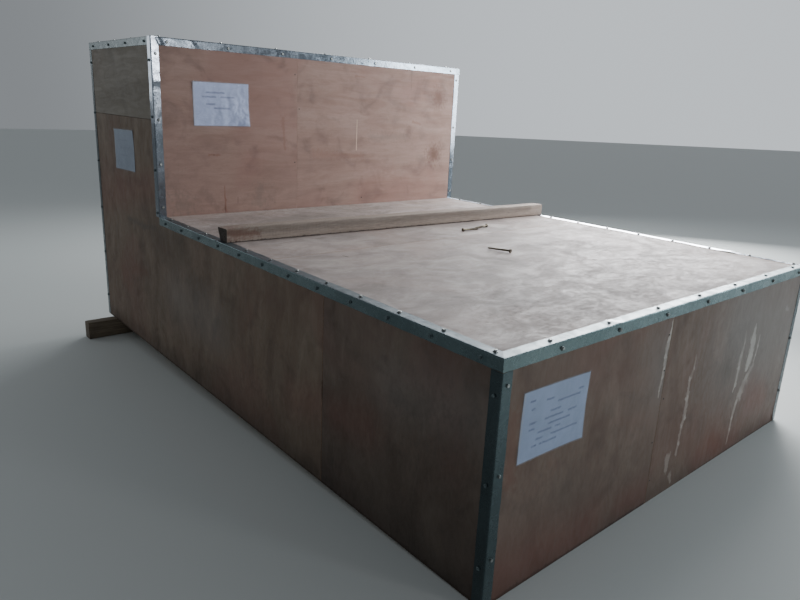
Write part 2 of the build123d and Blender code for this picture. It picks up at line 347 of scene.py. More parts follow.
class MarkKind(Enum):
    """What has left a mark, except one kind that is painted shade: its colour, how ragged its edge is, and
    its core.

    The core is the share of the mark's reach that it covers evenly, before its edge fades.
    """

    STAIN = ((116, 74, 58), 0.6, 0.0)
    DAMP = ((96, 88, 80), 0.8, 0.0)
    SCUFF = ((214, 206, 196), 0.45, 0.5)
    CRACK = ((42, 28, 22), 0.5, 0.5)
    KNOT = ((92, 62, 50), 0.35, 0.0)
    PATCH = ((186, 160, 142), 0.25, 0.5)
    GREY = ((144, 140, 136), 0.12, 0.0)
    BLUSH = ((128, 84, 74), 0.12, 0.0)
    # Not a mark: painted shade, laid low on the sheets near the floor and on the batten.
    PAINTED_SHADE = ((50, 45, 40), 0.12, 0.0)

    def __init__(self, screen: Triple, ragged: float, core: float) -> None:
        """Keeps the mark's looks.

        Args:
            screen: Its colour as seen on a screen.
            ragged: How far its edge is frayed, as a share of its reach.
            core: Share of its reach that is evenly covered.
        """
        self.colour = shown_as(screen)[0]
        self.ragged = ragged
        self.core = core


@dataclass(frozen=True)
class Mark:
    """Mark between two points of a face, which each give x, y and half width."""

    kind: MarkKind
    strength: float
    start: Triple
    end: Triple

    def cover(self, recipe: Recipe, face_point: Socket, fraying: Socket) -> Socket:
        """Works out how much of the mark covers each point.

        Args:
            recipe: The material being built.
            face_point: Place on the face, in metres.
            fraying: Fine noise that frays the edge.

        Returns:
            Cover, from 0 to the mark's strength.
        """
        *start, start_reach = (part * METRES for part in self.start)
        *end, end_reach = (part * METRES for part in self.end)
        run = Vector((*end, 0)) - Vector((*start, 0))
        aim = run.normalized() if run.length else Vector((1, 0, 0))
        offset = recipe.vector("SUBTRACT", face_point, (*start, 0))
        dot = recipe.vector("DOT_PRODUCT", offset, aim, "Value")
        along = recipe.step("Clamp", {"Value": dot, "Min": 0.0, "Max": run.length})
        foot = recipe.vector("MULTIPLY", recipe.join(along, along, along), aim)
        away = recipe.vector("DISTANCE", offset, foot, "Value")
        reaches = {0: along, 1: 0.0, 2: max(run.length, METRES), 3: start_reach, 4: end_reach}
        frayed = recipe.remap(fraying, 0.3, 0.7, 1.0 - self.kind.ragged, 1.0 + self.kind.ragged)
        reach = recipe.step("MapRange", reaches)
        share = recipe.maths("DIVIDE", recipe.maths("MULTIPLY", away, frayed), reach)
        return recipe.remap(share, self.kind.core, 1.2, self.strength, 0.0)


def marks(*rows: tuple[Any, ...]) -> tuple[Mark, ...]:
    """Marks of one piece, in the order that they are laid on.

    Args:
        *rows: Kind, strength, and each point that it runs through. One point makes a spot.

    Returns:
        The marks.
    """
    laid: list[Mark] = []
    for kind, strength, *points in rows:
        laid += [Mark(kind, strength, *ends) for ends in zip(points, points[1:] or points)]
    return tuple(laid)


def lay_marks(
    recipe: Recipe, colour: Socket, laid: Sequence[Mark], face_point: Socket, fraying: Socket
) -> Socket:
    """Lays marks over a colour.

    Args:
        recipe: The material being built.
        colour: Colour of the clean piece.
        laid: The marks, in order.
        face_point: Place on the face, in metres.
        fraying: Fine noise that frays their edges.

    Returns:
        The marked colour.
    """
    for mark in laid:
        colour = recipe.blend(mark.cover(recipe, face_point, fraying), colour, mark.kind.colour)
    return colour


@dataclass(frozen=True)
class Veneer:
    """Rotary-cut face veneer of a plywood sheet: dark, middle, light and blushing tones, and dirt."""

    tones: Tones
    grime: float = 0.3
    roughness: float = 0.72
    streaks: float = 1.0
    mottle: float = 0.04
    leaf_joint: float = 0.985
    leaf_size: Pair = (0.47, 0.33)
    leaf_step: Triple = (0.37, 0.19, 0.0)
    seed_step: Triple = (3.17, 5.03, 7.31)
    grain_squash: float = 0.16
    gloss_patches: float = 0.0
    ply_tones: Tones = shown_as((104, 78, 60), (176, 146, 116))
    ply_thickness: float = 2.4
    figure: Pattern = Pattern(26.0, 4.0, 2.2)
    pores: Pattern = Pattern(330.0, 2.0)
    clouds: Pattern = Pattern(1.7, 3.0, 0.5)
    smudges: Pattern = Pattern(7.0, 5.0, 0.8)
    patches: Pattern = Pattern(4.2, 4.0, 1.6)
    fraying: Pattern = Pattern(75.0, 4.0)

    def material(self, crate: CrateFrame, look: "SheetLook") -> Material:
        """Makes the material of one sheet.

        Args:
            crate: The crate's directions.
            look: The sheet's face, grain, seed and marks.

        Returns:
            The finished material.
        """
        recipe = Recipe(look.node + "_veneer")
        dark, middle, light, blush = self.tones
        true_point = recipe.crate_point(crate)
        parts = recipe.split(true_point)
        across, up, through = (parts[i] for i in look.face.value)
        face_point = recipe.join(across, up)
        where = recipe.shifted(true_point, look.seed, self.seed_step)
        long_grain = recipe.squeeze(where, look.grain, self.grain_squash)
        bands = recipe.noise(long_grain, Pattern(5.5, 2.0 + 3.0 * self.streaks, 1.4))
        figure = recipe.noise(long_grain, self.figure)
        pores = recipe.noise(long_grain, self.pores)
        smudges = recipe.noise(where, self.smudges)
        patches = recipe.noise(recipe.vector("MULTIPLY", where, (1.0, 1.4, 1.0)), self.patches)
        fraying = recipe.noise(recipe.vector("MULTIPLY", where, (1.0, 1.0, 0.6)), self.fraying)

        colour = recipe.ramp(bands, (0.25, dark), (0.5, middle), (0.75, light))
        fine = 0.04 * self.streaks
        colour = recipe.shade(colour, figure, 0.3, 0.7, 1.0 - fine, 1.0 + fine)
        colour = recipe.shade(colour, pores, 0.35, 0.65, 1.0 - fine, 1.0 + fine / 2)
        colour = recipe.shade(colour, patches, 0.34, 0.64, 1.0 - self.mottle, 1.0 + self.mottle / 2)
        colour = recipe.spread(colour, blush, recipe.noise(where, self.clouds), 0.48, 0.66, 0.6)
        colour = recipe.vector("MULTIPLY", colour, self.leaves(recipe, face_point, look))
        damp = MarkKind.DAMP.colour
        colour = recipe.spread(colour, damp, smudges, 0.48, 0.75, self.grime, "MULTIPLY")
        # Upright sheets get blotchy darkening within 120 mm of their foot.
        if look.face is not Face.LID:
            foot_darkening = recipe.maths("MULTIPLY", recipe.remap(up, 0.0, 0.12, 0.65, 0.0), smudges)
            colour = recipe.blend(foot_darkening, colour, damp, "MULTIPLY")
        colour = lay_marks(recipe, colour, look.marks, face_point, fraying)
        facing = recipe.step("NewGeometry", {}, "Normal")
        facing = recipe.vector("DOT_PRODUCT", facing, look.normal(crate), "Value")
        on_edge = recipe.maths("LESS_THAN", recipe.maths("ABSOLUTE", facing), 0.6)
        colour = recipe.blend(on_edge, colour, self.plies(recipe, through, pores))

        height = recipe.maths("ADD", recipe.maths("MULTIPLY", figure, 0.5), pores)
        roughness = recipe.remap(figure, 0.3, 0.7, self.roughness + 0.1, self.roughness - 0.1)
        if self.gloss_patches:
            shift = recipe.remap(patches, 0.36, 0.64, self.gloss_patches, -self.gloss_patches)
            roughness = recipe.maths("ADD", roughness, shift)
        normal = recipe.bump(height, 0.0007, 0.55)
        return recipe.finish(Base_Color=colour, Roughness=roughness, Normal=normal, IOR=1.4)

    def leaves(self, recipe: Recipe, face_point: Socket, look: "SheetLook") -> Socket:
        """Tone of each leaf of veneer, with a thin joint between neighbours.

        Args:
            recipe: The material being built.
            face_point: Place on the face, in metres.
            look: The sheet's grain, face and seed.

        Returns:
            Grey that the wood is multiplied by.
        """
        if look.grain.value != look.face.value[0]:
            face_point = recipe.turned(face_point, (0, 0, math.pi / 2))
        inputs = {
            "Vector": recipe.shifted(face_point, look.seed, self.leaf_step),
            "Color1": [0.97] * 3,
            "Color2": [1.03] * 3,
            "Mortar": [self.leaf_joint] * 3,
            "Scale": 1.0,
            "Mortar Size": 0.0011,
            "Mortar Smooth": 0.4,
            "Brick Width": self.leaf_size[0],
            "Row Height": self.leaf_size[1],
        }
        return recipe.step("TexBrick", inputs, "Color", offset=0.41)

    def plies(self, recipe: Recipe, through: Socket, pores: Socket) -> Socket:
        """Stripes of the plies that show on a cut edge.

        Args:
            recipe: The material being built.
            through: Place through the sheet's thickness, in metres.
            pores: Fine noise along the grain.

        Returns:
            Their colour.
        """
        ply = recipe.maths("DIVIDE", through, 2 * self.ply_thickness * METRES)
        wave = recipe.maths("SINE", recipe.maths("MULTIPLY", ply, 2 * math.pi))
        stripes = recipe.ramp(recipe.remap(wave, -0.3, 0.3, 0.0, 1.0), *zip((0.0, 1.0), self.ply_tones))
        return recipe.shade(stripes, pores, 0.3, 0.7, 0.75, 1.1)


@dataclass(frozen=True)
class SawnTimber:
    """Sawn softwood: dark, light and weathered tones, grain, and the saw's marks across it."""

    tones: Tones
    weathering: float = 0.3
    saw_pitch: float = 7.0
    grain_squash: float = 0.05
    seed_step: Triple = (1.93, 2.71, 4.07)
    rings: Pattern = Pattern(60.0, 3.0, 1.6)
    fibres: Pattern = Pattern(420.0, 2.0)
    clouds: Pattern = Pattern(6.0, 4.0, 0.7)
    wobble: Pattern = Pattern(18.0, 2.0)
    fraying: Pattern = Pattern(60.0)

    def material(
        self, name: str, crate: CrateFrame, grain: Axis, seed: float, laid: Sequence[Mark] = ()
    ) -> Material:
        """Makes the material of one timber.

        Args:
            name: Name of the material.
            crate: The crate's directions.
            grain: Direction that the timber runs in.
            seed: Number that sets this timber's grain apart from the others.
            laid: Marks on it, in crate x and z.

        Returns:
            The finished material.
        """
        recipe = Recipe(name)
        dark, light, weather = self.tones
        true_point = recipe.crate_point(crate)
        where = recipe.shifted(true_point, seed, self.seed_step)
        long_grain = recipe.squeeze(where, grain, self.grain_squash)
        rings = recipe.noise(long_grain, self.rings)
        fibres = recipe.noise(long_grain, self.fibres)
        parts = recipe.split(true_point)
        turns = recipe.maths("MULTIPLY", parts[grain.value], 2 * math.pi / (self.saw_pitch * METRES))
        wobble = recipe.maths("MULTIPLY", recipe.noise(where, self.wobble), 9.0)
        saw = recipe.maths("SINE", recipe.maths("ADD", turns, wobble))

        colour = recipe.ramp(rings, (0.34, dark), (0.62, light))
        colour = recipe.shade(colour, fibres, 0.35, 0.65, 0.86, 1.08)
        colour = recipe.shade(colour, saw, -1.0, 1.0, 0.94, 1.03)
        clouds = recipe.noise(where, self.clouds)
        colour = recipe.spread(colour, weather, clouds, 0.42, 0.66, self.weathering)
        fraying = recipe.noise(where, self.fraying)
        colour = lay_marks(recipe, colour, laid, recipe.join(parts[0], parts[2]), fraying)

        height = recipe.maths("ADD", recipe.maths("MULTIPLY", saw, 0.25), fibres)
        roughness = recipe.remap(rings, 0.3, 0.7, 0.85, 0.7)
        normal = recipe.bump(height, 0.0012, 0.6)
        return recipe.finish(Base_Color=colour, Roughness=roughness, Normal=normal, IOR=1.4)


@dataclass(frozen=True)
class Galvanising:
    """Hot-dip zinc on folded sheet: bright, dull and stained tones, spangle and smears."""

    tones: Tones
    roughness: float = 0.2
    spangle: float = 7.0
    smearing: float = 0.16
    seed_step: Triple = (2.3, 1.1, 3.7)
    clouds: Pattern = Pattern(3.6, 3.0, 0.6)
    smears: Pattern = Pattern(24.0, 4.0, 0.8)
    ripples: Pattern = Pattern(60.0, 2.0)

    def material(self, name: str, crate: CrateFrame, seed: float) -> Material:
        """Makes the material of one leg of an angle.

        Args:
            name: Name of the material.
            crate: The crate's directions.
            seed: Number that sets this angle's pattern apart from the others.

        Returns:
            The finished material.
        """
        recipe = Recipe(name)
        bright, dull, stain = self.tones
        where = recipe.shifted(recipe.crate_point(crate), seed, self.seed_step)
        cell = {"Vector": where, "Scale": 1.0 / (self.spangle * METRES), "Randomness": 1.0}
        flake = recipe.split(recipe.step("TexVoronoi", cell, "Color"))[0]
        smears = recipe.noise(where, self.smears)

        colour = recipe.ramp(recipe.noise(where, self.clouds), (0.3, dull), (0.66, bright))
        colour = recipe.shade(colour, flake, 0.0, 1.0, 0.97, 1.03)
        colour = recipe.spread(colour, stain, smears, 0.5, 0.74, self.smearing)
        dulled = recipe.remap(smears, 0.35, 0.7, self.roughness, self.roughness + 0.12)
        roughness = recipe.maths("ADD", dulled, recipe.maths("MULTIPLY", flake, 0.06))
        normal = recipe.bump(recipe.noise(where, self.ripples), 0.001, 0.3)
        return recipe.finish(Base_Color=colour, Metallic=0.92, Roughness=roughness, Normal=normal)


@dataclass(frozen=True)
class PlainMetal:
    """Small plated hardware: the tones of its metal and of the grime on it."""

    tones: Tones
    roughness: float
    metallic: float = 0.9
    clouds: Pattern = Pattern(140.0)

    def material(self, name: str) -> Material:
        """Makes the material.

        Args:
            name: Name of the material.

        Returns:
            The finished material.
        """
        recipe = Recipe(name)
        metal, grime = self.tones
        clouds = recipe.noise(recipe.own_point(), self.clouds)
        colour = recipe.spread(metal, grime, clouds, 0.42, 0.62, 0.8)
        roughness = recipe.remap(clouds, 0.4, 0.6, self.roughness, self.roughness + 0.2)
        return recipe.finish(Base_Color=colour, Metallic=self.metallic, Roughness=roughness)


@dataclass(frozen=True)
class PrintedPaper:
    """Office paper with plain bars where the print is: the tones of its paper and its ink.

    Each line is its height on the sheet and the start and end of its bars, as shares.
    """

    tones: Tones
    lines: tuple[tuple[float, ...], ...]
    bar_height: float = 0.03
    bar_fade: float = 0.012
    strength: float = 0.62
    margin: Colour = shown_as((196, 186, 172))[0]
    fibres: Pattern = Pattern(700.0, 2.0)
    clouds: Pattern = Pattern(22.0)

    def material(self, name: str) -> Material:
        """Makes the material.

        Args:
            name: Name of the material.

        Returns:
            The finished material.
        """
        recipe = Recipe(name)
        paper, ink = self.tones
        spot = recipe.own_point("UV")
        across, up, _ = recipe.split(spot)
        where = recipe.own_point()
        clouds = recipe.noise(where, self.clouds)
        faded = recipe.noise(recipe.vector("MULTIPLY", spot, (90.0, 30.0, 1.0)), Pattern(1.0, 2.0))
        colour = recipe.shade(paper, clouds, 0.3, 0.7, 0.93, 1.04)
        colour = recipe.shade(colour, recipe.noise(where, self.fibres), 0.3, 0.7, 0.97, 1.02)
        for height, *ends in self.lines:
            near = recipe.maths("ABSOLUTE", recipe.maths("SUBTRACT", up, height))
            inside = recipe.remap(near, self.bar_height * 0.15, self.bar_height * 0.7, self.strength, 0.0)
            worn = recipe.maths("MULTIPLY", inside, recipe.remap(faded, 0.36, 0.6, 0.15, 1.0))
            for start, end in zip(ends[::2], ends[1::2]):
                begun = recipe.remap(across, start - self.bar_fade, start + self.bar_fade, 0.0, 1.0)
                ended = recipe.remap(across, end - self.bar_fade, end + self.bar_fade, 1.0, 0.0)
                bar = recipe.maths("MULTIPLY", recipe.maths("MULTIPLY", begun, ended), worn)
                colour = recipe.blend(bar, colour, ink)
        dots = recipe.noise(recipe.vector("MULTIPLY", spot, (60.0, 46.0, 1.0)), Pattern(1.0))
        left_edge = recipe.remap(across, 0.0, 0.04, 0.6, 0.0)
        torn_edge = recipe.maths("MULTIPLY", left_edge, recipe.remap(dots, 0.45, 0.55, 0.0, 1.0))
        colour = recipe.blend(torn_edge, colour, self.margin)
        return recipe.finish(Base_Color=colour, Roughness=0.55, Normal=recipe.bump(clouds, 0.002, 0.3))


@dataclass(frozen=True)
class ClearFilm:
    """Thin clear film of a document pouch, cloudy where its edges are welded."""

    tint: Colour = shown_as((196, 204, 218))[0]
    clear: float = 0.1
    welded: float = 0.22
    roughness: float = 0.16
    weld_share: float = 0.035
    creases: Pattern = Pattern(55.0, 3.0, 1.5)

    def material(self, name: str) -> Material:
        """Makes the material.

        Args:
            name: Name of the material.

        Returns:
            The finished material.
        """
        recipe = Recipe(name)
        shares = recipe.split(recipe.own_point("UV"))[:2]
        off_centre = [recipe.maths("ABSOLUTE", recipe.maths("SUBTRACT", share, 0.5)) for share in shares]
        edge = recipe.maths("MAXIMUM", *off_centre)
        weld = self.weld_share
        alpha = recipe.remap(edge, 0.5 - weld, 0.5 - weld * 0.6, self.clear, self.welded)
        normal = recipe.bump(recipe.noise(recipe.own_point(), self.creases), 0.004, 0.6)
        recipe.material.surface_render_method = "BLENDED"
        return recipe.finish(Base_Color=self.tint, Alpha=alpha, Roughness=self.roughness, Normal=normal)


def set_material(piece: Piece, material: Material) -> None:
    """Puts a material in every slot of a CAD object."""
    for slot in piece.material_slots:
        slot.material = material


def make_piece(
    name: str,
    vertices: Iterable[Vector],
    faces: Faces,
    materials: Sequence[Material],
    replaced: Sequence[str] = (),
    sharp: float = 40.0,
) -> Piece:
    """Makes one object of the crate and hands it to the frame.

    Args:
        name: Name of the piece.
        vertices: Its points, in the frame's metres.
        faces: Its faces, as indices of points.
        materials: Its finishes. Each face has the first until it is given another.
        replaced: CAD nodes that it stands for.
        sharp: Bend above which an edge stays sharp, in degrees.

    Returns:
        The new object.
    """
    mesh = bpy.data.meshes.new(name)
    mesh.from_pydata([tuple(v) for v in vertices], [], faces)
    for material in materials:
        mesh.materials.append(material)
    mesh.shade_smooth()
    mesh.set_sharp_from_angle(angle=math.radians(sharp))
    mesh.update()
    piece = bpy.data.objects.new(name, mesh)
    bpy.context.scene.collection.objects.link(piece)
    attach(piece, "root")
    if replaced:
        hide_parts(*replaced)
    LOG.info("%s: %d faces", name, len(mesh.polygons))
    return piece


def loft(rings: int, size: int, capped: bool = True) -> Faces:
    """Faces between closed rings of points that follow each other.

    Args:
        rings: How many rings there are.
        size: Points in each ring.
        capped: Whether the first and the last ring are closed too.

    Returns:
        The faces, as indices of points, with the two caps last.
    """
    last = (rings - 1) * size
    faces = []
    for base in range(0, last, size):
        for point in range(size):
            after = (point + 1) % size
            faces.append((base + point, base + after, base + size + after, base + size + point))
    if capped:
        faces += [tuple(reversed(range(size))), tuple(range(last, last + size))]
    return faces


@dataclass
class Cluster:
    """Many small things of round or hexagonal rings, gathered into one mesh."""

    sides: int
    vertices: list[Vector] = field(default_factory=list)
    faces: Faces = field(default_factory=list)

    @property
    def around(self) -> np.ndarray:
        """Angle of each point of a ring."""
        return np.linspace(0, 2 * math.pi, self.sides, endpoint=False)

    def hexagon(self, flats: float) -> np.ndarray:
        """Radii of a hexagonal ring, from its width across flats."""
        return flats / 2 / np.cos(self.around % (math.pi / 3) - math.pi / 6)

    def add(self, move: Matrix, rings: Sequence[tuple[Any, float]]) -> None:
        """Adds one thing that is made upright at the origin.

        Args:
            move: What takes it to its place.
            rings: Radius of each ring, or of each of its points, and the ring's height.
        """
        base = len(self.vertices)
        for radii, height in rings:
            for radius, turn in zip(np.broadcast_to(radii, self.sides), self.around):
                point = (radius * math.cos(turn), radius * math.sin(turn), height)
                self.vertices.append(move @ Vector(point))
        self.faces += [tuple(base + i for i in face) for face in loft(len(rings), self.sides)]


@dataclass(frozen=True)
class SheetLook:
    """Finish of one plywood sheet of the CAD frame."""

    node: str
    veneer: Veneer
    face: Face
    grain: Axis
    seed: float = 0.0
    marks: tuple[Mark, ...] = ()

    def normal(self, crate: CrateFrame) -> Vector:
        """Direction that the sheet faces, in the frame."""
        return crate.heading([float(axis == self.face.value[2]) for axis in range(3)])


@dataclass
class PlywoodBox:
    """The plywood sheets of the crate, which keep their CAD shapes."""

    looks: Sequence[SheetLook]

    def dress(self, crate: CrateFrame) -> None:
        """Gives each sheet its own veneer.

        Args:
            crate: The crate's directions and nodes.
        """
        for look in self.looks:
            set_material(crate.nodes[look.node], look.veneer.material(crate, look))
            LOG.info("%s: veneer with %d marks", look.node, len(look.marks))


@dataclass(frozen=True)
class Dent:
    """Buckle in an angle: how far along, how far from the fold, its half width and its rise.

    across is positive on the leg along the angle's first side axis and negative on the other.
    """

    along: float
    across: float
    reach: float
    rise: float
    slant: float = 0.0


@dataclass
class EdgeAngle:
    """One folded steel angle, with the waves and buckles that thin sheet takes.

    It runs along one axis. corner says at which side of the other two axes, in order, its
    outer corner lies: -1 for the low side and 1 for the high side. The first leg spreads
    along the first of these axes, the second along the second, and finishes are theirs.
    The finishes are paler and darker copies of the galvanising, mostly picked by which way
    each leg faces, so that they paint light and sheen on legs facing the lamps and shade
    on legs facing away.
    """

    node: str
    run: Axis
    corner: tuple[int, int]
    finishes: tuple[Galvanising, Galvanising]
    mitred: tuple[bool, bool] = (False, False)
    flare: Pair = (0.0, 0.0)
    dents: tuple[Dent, ...] = ()
    seed: float = 0.0
    proud: float = 0.0
    gauge: float = 1.0
    fold_radius: float = 3.0
    row_step: float = 11.0
    edge_lift: float = 1.3
    wave_length: float = 95.0
    edge_wander: float = 0.9
    wander_length: float = 31.0
    ripple: float = 0.35
    ripple_size: Pair = (38.0, 25.0)
    flare_reach: float = 60.0
    screw_hold: float = 42.0
    seat_slack: float = 2.5
    screw_zone: float = 45.0
    columns: tuple[float, ...] = (1.0, 0.93, 0.8, 0.65, 0.5, 0.36, 0.22, 0.1)
    bends: tuple[float, ...] = (0.0, 30.0, 60.0, 90.0)

    @property
    def sides(self) -> list[int]:
        """The axes that the first and the second leg spread along."""
        return [axis for axis in range(3) if axis != self.run.value]

    def profile(self, legs: Pair) -> list[tuple[Pair, Pair, float]]:
        """Outer surface across the angle, from the second leg's free edge to the first leg's.

        Args:
            legs: Widths of the first and the second leg.

        Returns:
            Inward distances along the side axes, the outward normal in them, and the distance
            from the fold, which is negative on the second leg.
        """
        r = self.fold_radius
        out, down = ([r + (leg - r) * share for share in self.columns] for leg in legs)
        points = [((0.0, d), (-1.0, 0.0), -d) for d in down]
        for bend in np.radians(self.bends):
            c, s = math.cos(bend), math.sin(bend)
            points.append(((r - r * c, r - r * s), (-c, -s), r * (4 * bend / math.pi - 1)))
        return points + [((d, 0.0), (0.0, -1.0), d) for d in reversed(out)]

    def build(self, crate: CrateFrame, screws: Sequence[Vector]) -> Piece:
        """Makes the angle round its CAD node's corner.

        Args:
            crate: The crate's directions and nodes.
            screws: Seats of all the screws, in crate millimetres.

        Returns:
            The new piece.
        """
        span = crate.span(self.node)
        run = self.run.value
        ends = span.low[run], span.high[run]
        outer = [0.0, 0.0, 0.0]
        for axis, side in zip(self.sides, self.corner):
            outer[axis] = span.high[axis] if side > 0 else span.low[axis]
        legs = tuple(span.high[axis] - span.low[axis] for axis in self.sides)
        rows = max(4, round((ends[1] - ends[0]) / self.row_step))
        held = self.screw_gaps(screws, outer, ends, rows)
        profile = self.profile(legs)
        vertices = []
        for row in range(rows + 1):
            skins: tuple[list[Vector], list[Vector]] = ([], [])
            for inward, normal, away in profile:
                leg = 0 if away > 0 else 1
                low = ends[0] + inward[0] * self.mitred[0]
                high = ends[1] - inward[0] * self.mitred[1]
                along = low + (high - low) * (row / rows)
                rise = self.rise(along, ends, away, legs[leg], held[row][leg])
                spot = Vector((along / self.wander_length, self.seed * 7.7 + (away > 0) * 3.1, 0.0))
                spread = list(inward)
                spread[leg] += self.edge_wander * noise.noise(spot) * (abs(away) / legs[leg]) ** 6
                for skin, depth in zip(skins, (0.0, self.gauge)):
                    point = [along, along, along]
                    for i, axis in enumerate(self.sides):
                        point[axis] = outer[axis] - self.corner[i] * (spread[i] + normal[i] * (rise - depth))
                    skin.append(crate.place(point))
            vertices += [*skins[0], *reversed(skins[1])]

        half = len(profile)
        size = 2 * half
        last = rows * size
        faces = loft(rows + 1, size, capped=False)
        for point in range(half - 1):
            mirror = size - 1 - point
            faces.append((point + 1, point, mirror, mirror - 1))
            faces.append((last + point, last + point + 1, last + mirror - 1, last + mirror))
        if (self.run is Axis.Y) ^ (self.corner[0] * self.corner[1] < 0):
            faces = [face[::-1] for face in faces]
        zinc = [
            finish.material(f"{self.node}_{leg}_leg_zinc", crate, self.seed)
            for finish, leg in zip(self.finishes, ("first", "second"))
        ]
        name = self.node.replace("angle", "edge_strip")
        strip = make_piece(name, vertices, faces, zinc, (self.node,))
        for polygon in strip.data.polygons[:last]:
            place = polygon.index % size
            polygon.material_index = int(place < half // 2 or place >= size - half // 2)
        return strip

    def screw_gaps(
        self, screws: Sequence[Vector], outer: Sequence[float], ends: Pair, rows: int
    ) -> np.ndarray:
        """Distance along the angle from each row to the nearest screw or end.

        Args:
            screws: Seats of all the screws.
            outer: Outer corner of the angle.
            ends: Where the angle begins and ends.
            rows: Rows of faces along it.

        Returns:
            For each row, the distance on the first and on the second leg.
        """
        run, (first, second) = self.run.value, self.sides
        rungs = np.linspace(*ends, rows + 1)[:, None]
        gaps = []
        for on, off in ((second, first), (first, second)):
            own = [
                screw[run]
                for screw in screws
                if abs(screw[on] - outer[on]) < self.seat_slack
                and abs(screw[off] - outer[off]) < self.screw_zone
                and ends[0] < screw[run] < ends[1]
            ]
            gaps.append(np.abs(rungs - np.array([*ends, *own])).min(axis=1))
        return np.column_stack(gaps)

    def rise(self, along: float, ends: Pair, away: float, leg: float, screw: float) -> float:
        """How far a point stands out from the flat leg.

        Args:
            along: Place along the angle.
            ends: Where the angle begins and ends.
            away: Distance from the fold, negative on the second leg.
            leg: Width of this leg.
            screw: Distance to this leg's nearest screw.

        Returns:
            Outward distance.
        """
        edge = abs(away) / leg
        free = 1.0 - math.exp(-((screw / self.screw_hold) ** 2))
        wave = 0.5 + noise.noise(Vector((along / self.wave_length, self.seed * 5.3, (away > 0) * 9.1)))
        ripple = Vector((along / self.ripple_size[0], away / self.ripple_size[1], self.seed))
        rise = self.edge_lift * edge**2 * free * max(0.0, wave)
        rise += self.ripple * edge * (0.5 + noise.noise(ripple))
        for distance, flare in zip((along - ends[0], ends[1] - along), self.flare):
            if distance < self.flare_reach:
                rise += flare * (1.0 - distance / self.flare_reach) ** 2 * edge
        for dent in self.dents:
            if dent.across * away > 0:
                offset = (along - dent.along + dent.slant * (away - dent.across)) / dent.reach
                side = (away - dent.across) / (dent.reach * 1.4)
                rise += dent.rise * max(0.0, 1.0 - abs(offset)) * math.exp(-(side**2))
        return max(0.0, rise) + self.proud


@dataclass
class StripScrews:
    """Hexagon washer-head screws of the angles, seated where the CAD heads are."""

    node: str = "strip_screws"
    flange_radius: float = 7.6
    flange_height: float = 1.3
    flats: float = 9.6
    bevel: float = 0.9
    sides: int = 18
    washer_rings: int = 3
    lean_degrees: float = 3.0
    lean_step: float = 2.3
    spin_step: float = 1.7
    seats: list[tuple[Vector, Vector, float]] = field(default_factory=list)

    def locate(self, crate: CrateFrame) -> list[Vector]:
        """Finds the seat, the outward direction and the height of each head.

        Args:
            crate: The crate's directions and nodes.

        Returns:
            The seats, in crate millimetres.
        """
        middle = crate.span("low_lid_near_sheet").middle.x
        back = crate.span("back_left_angle").low.y
        for island in crate.islands(self.node):
            span = span_of(island)
            size = span.high - span.low
            axis = min(range(3), key=lambda a: size[a])
            outward = Vector((0, 0, 0))
            outward[axis] = 1.0 if span.middle[axis] > (middle, back, -math.inf)[axis] else -1.0
            self.seats.append((span.middle - outward * size[axis] / 2, outward, size[axis]))
        return [seat for seat, _, _ in self.seats]

    def build(self, crate: CrateFrame, finishes: dict[str, PlainMetal]) -> Piece:
        """Makes all the heads as one piece.

        Args:
            crate: The crate's directions.
            finishes: Finishes by material name, of the hexagons, of the sealing washers under
                them and of the whole heads on the crate's left side, which is a darker copy of the
                plating that paints their shade.

        Returns:
            The new piece.
        """
        heads = Cluster(self.sides)
        hexagon = heads.hexagon(self.flats)
        flange = np.full(self.sides, self.flange_radius)
        for index, (seat, outward, height) in enumerate(self.seats):
            spin = Matrix.Rotation(index * self.spin_step, 4, "Z")
            tilt = math.radians(self.lean_degrees) * math.sin(index * self.lean_step)
            lean = Matrix.Rotation(tilt, 4, "X")
            rings = (
                (flange, 0.0),
                (flange, self.flange_height * 0.55),
                (flange * 0.93, self.flange_height * 0.85),
                (hexagon * 1.08, self.flange_height),
                (hexagon, self.flange_height + 0.25),
                (hexagon, height - self.bevel * 0.7),
                (np.minimum(hexagon, self.flats / 2) * 0.94, height),
                (flange * 0.3, height - 0.35),
            )
            heads.add(crate.stand(seat, outward) @ lean @ spin, rings)
        materials = [finish.material(name) for name, finish in finishes.items()]
        piece = make_piece(
            "strip_screw_heads", heads.vertices, heads.faces, materials, (self.node,), 25.0
        )
        for polygon in piece.data.polygons:
            screw, face = divmod(polygon.index, len(heads.faces) // len(self.seats))
            on_washer = face // self.sides < self.washer_rings
            # Heads that face the crate's left side take the darker copy of the plating: painted shade.
            polygon.material_index = 2 if self.seats[screw][1].x < 0 else int(on_washer)
        return piece


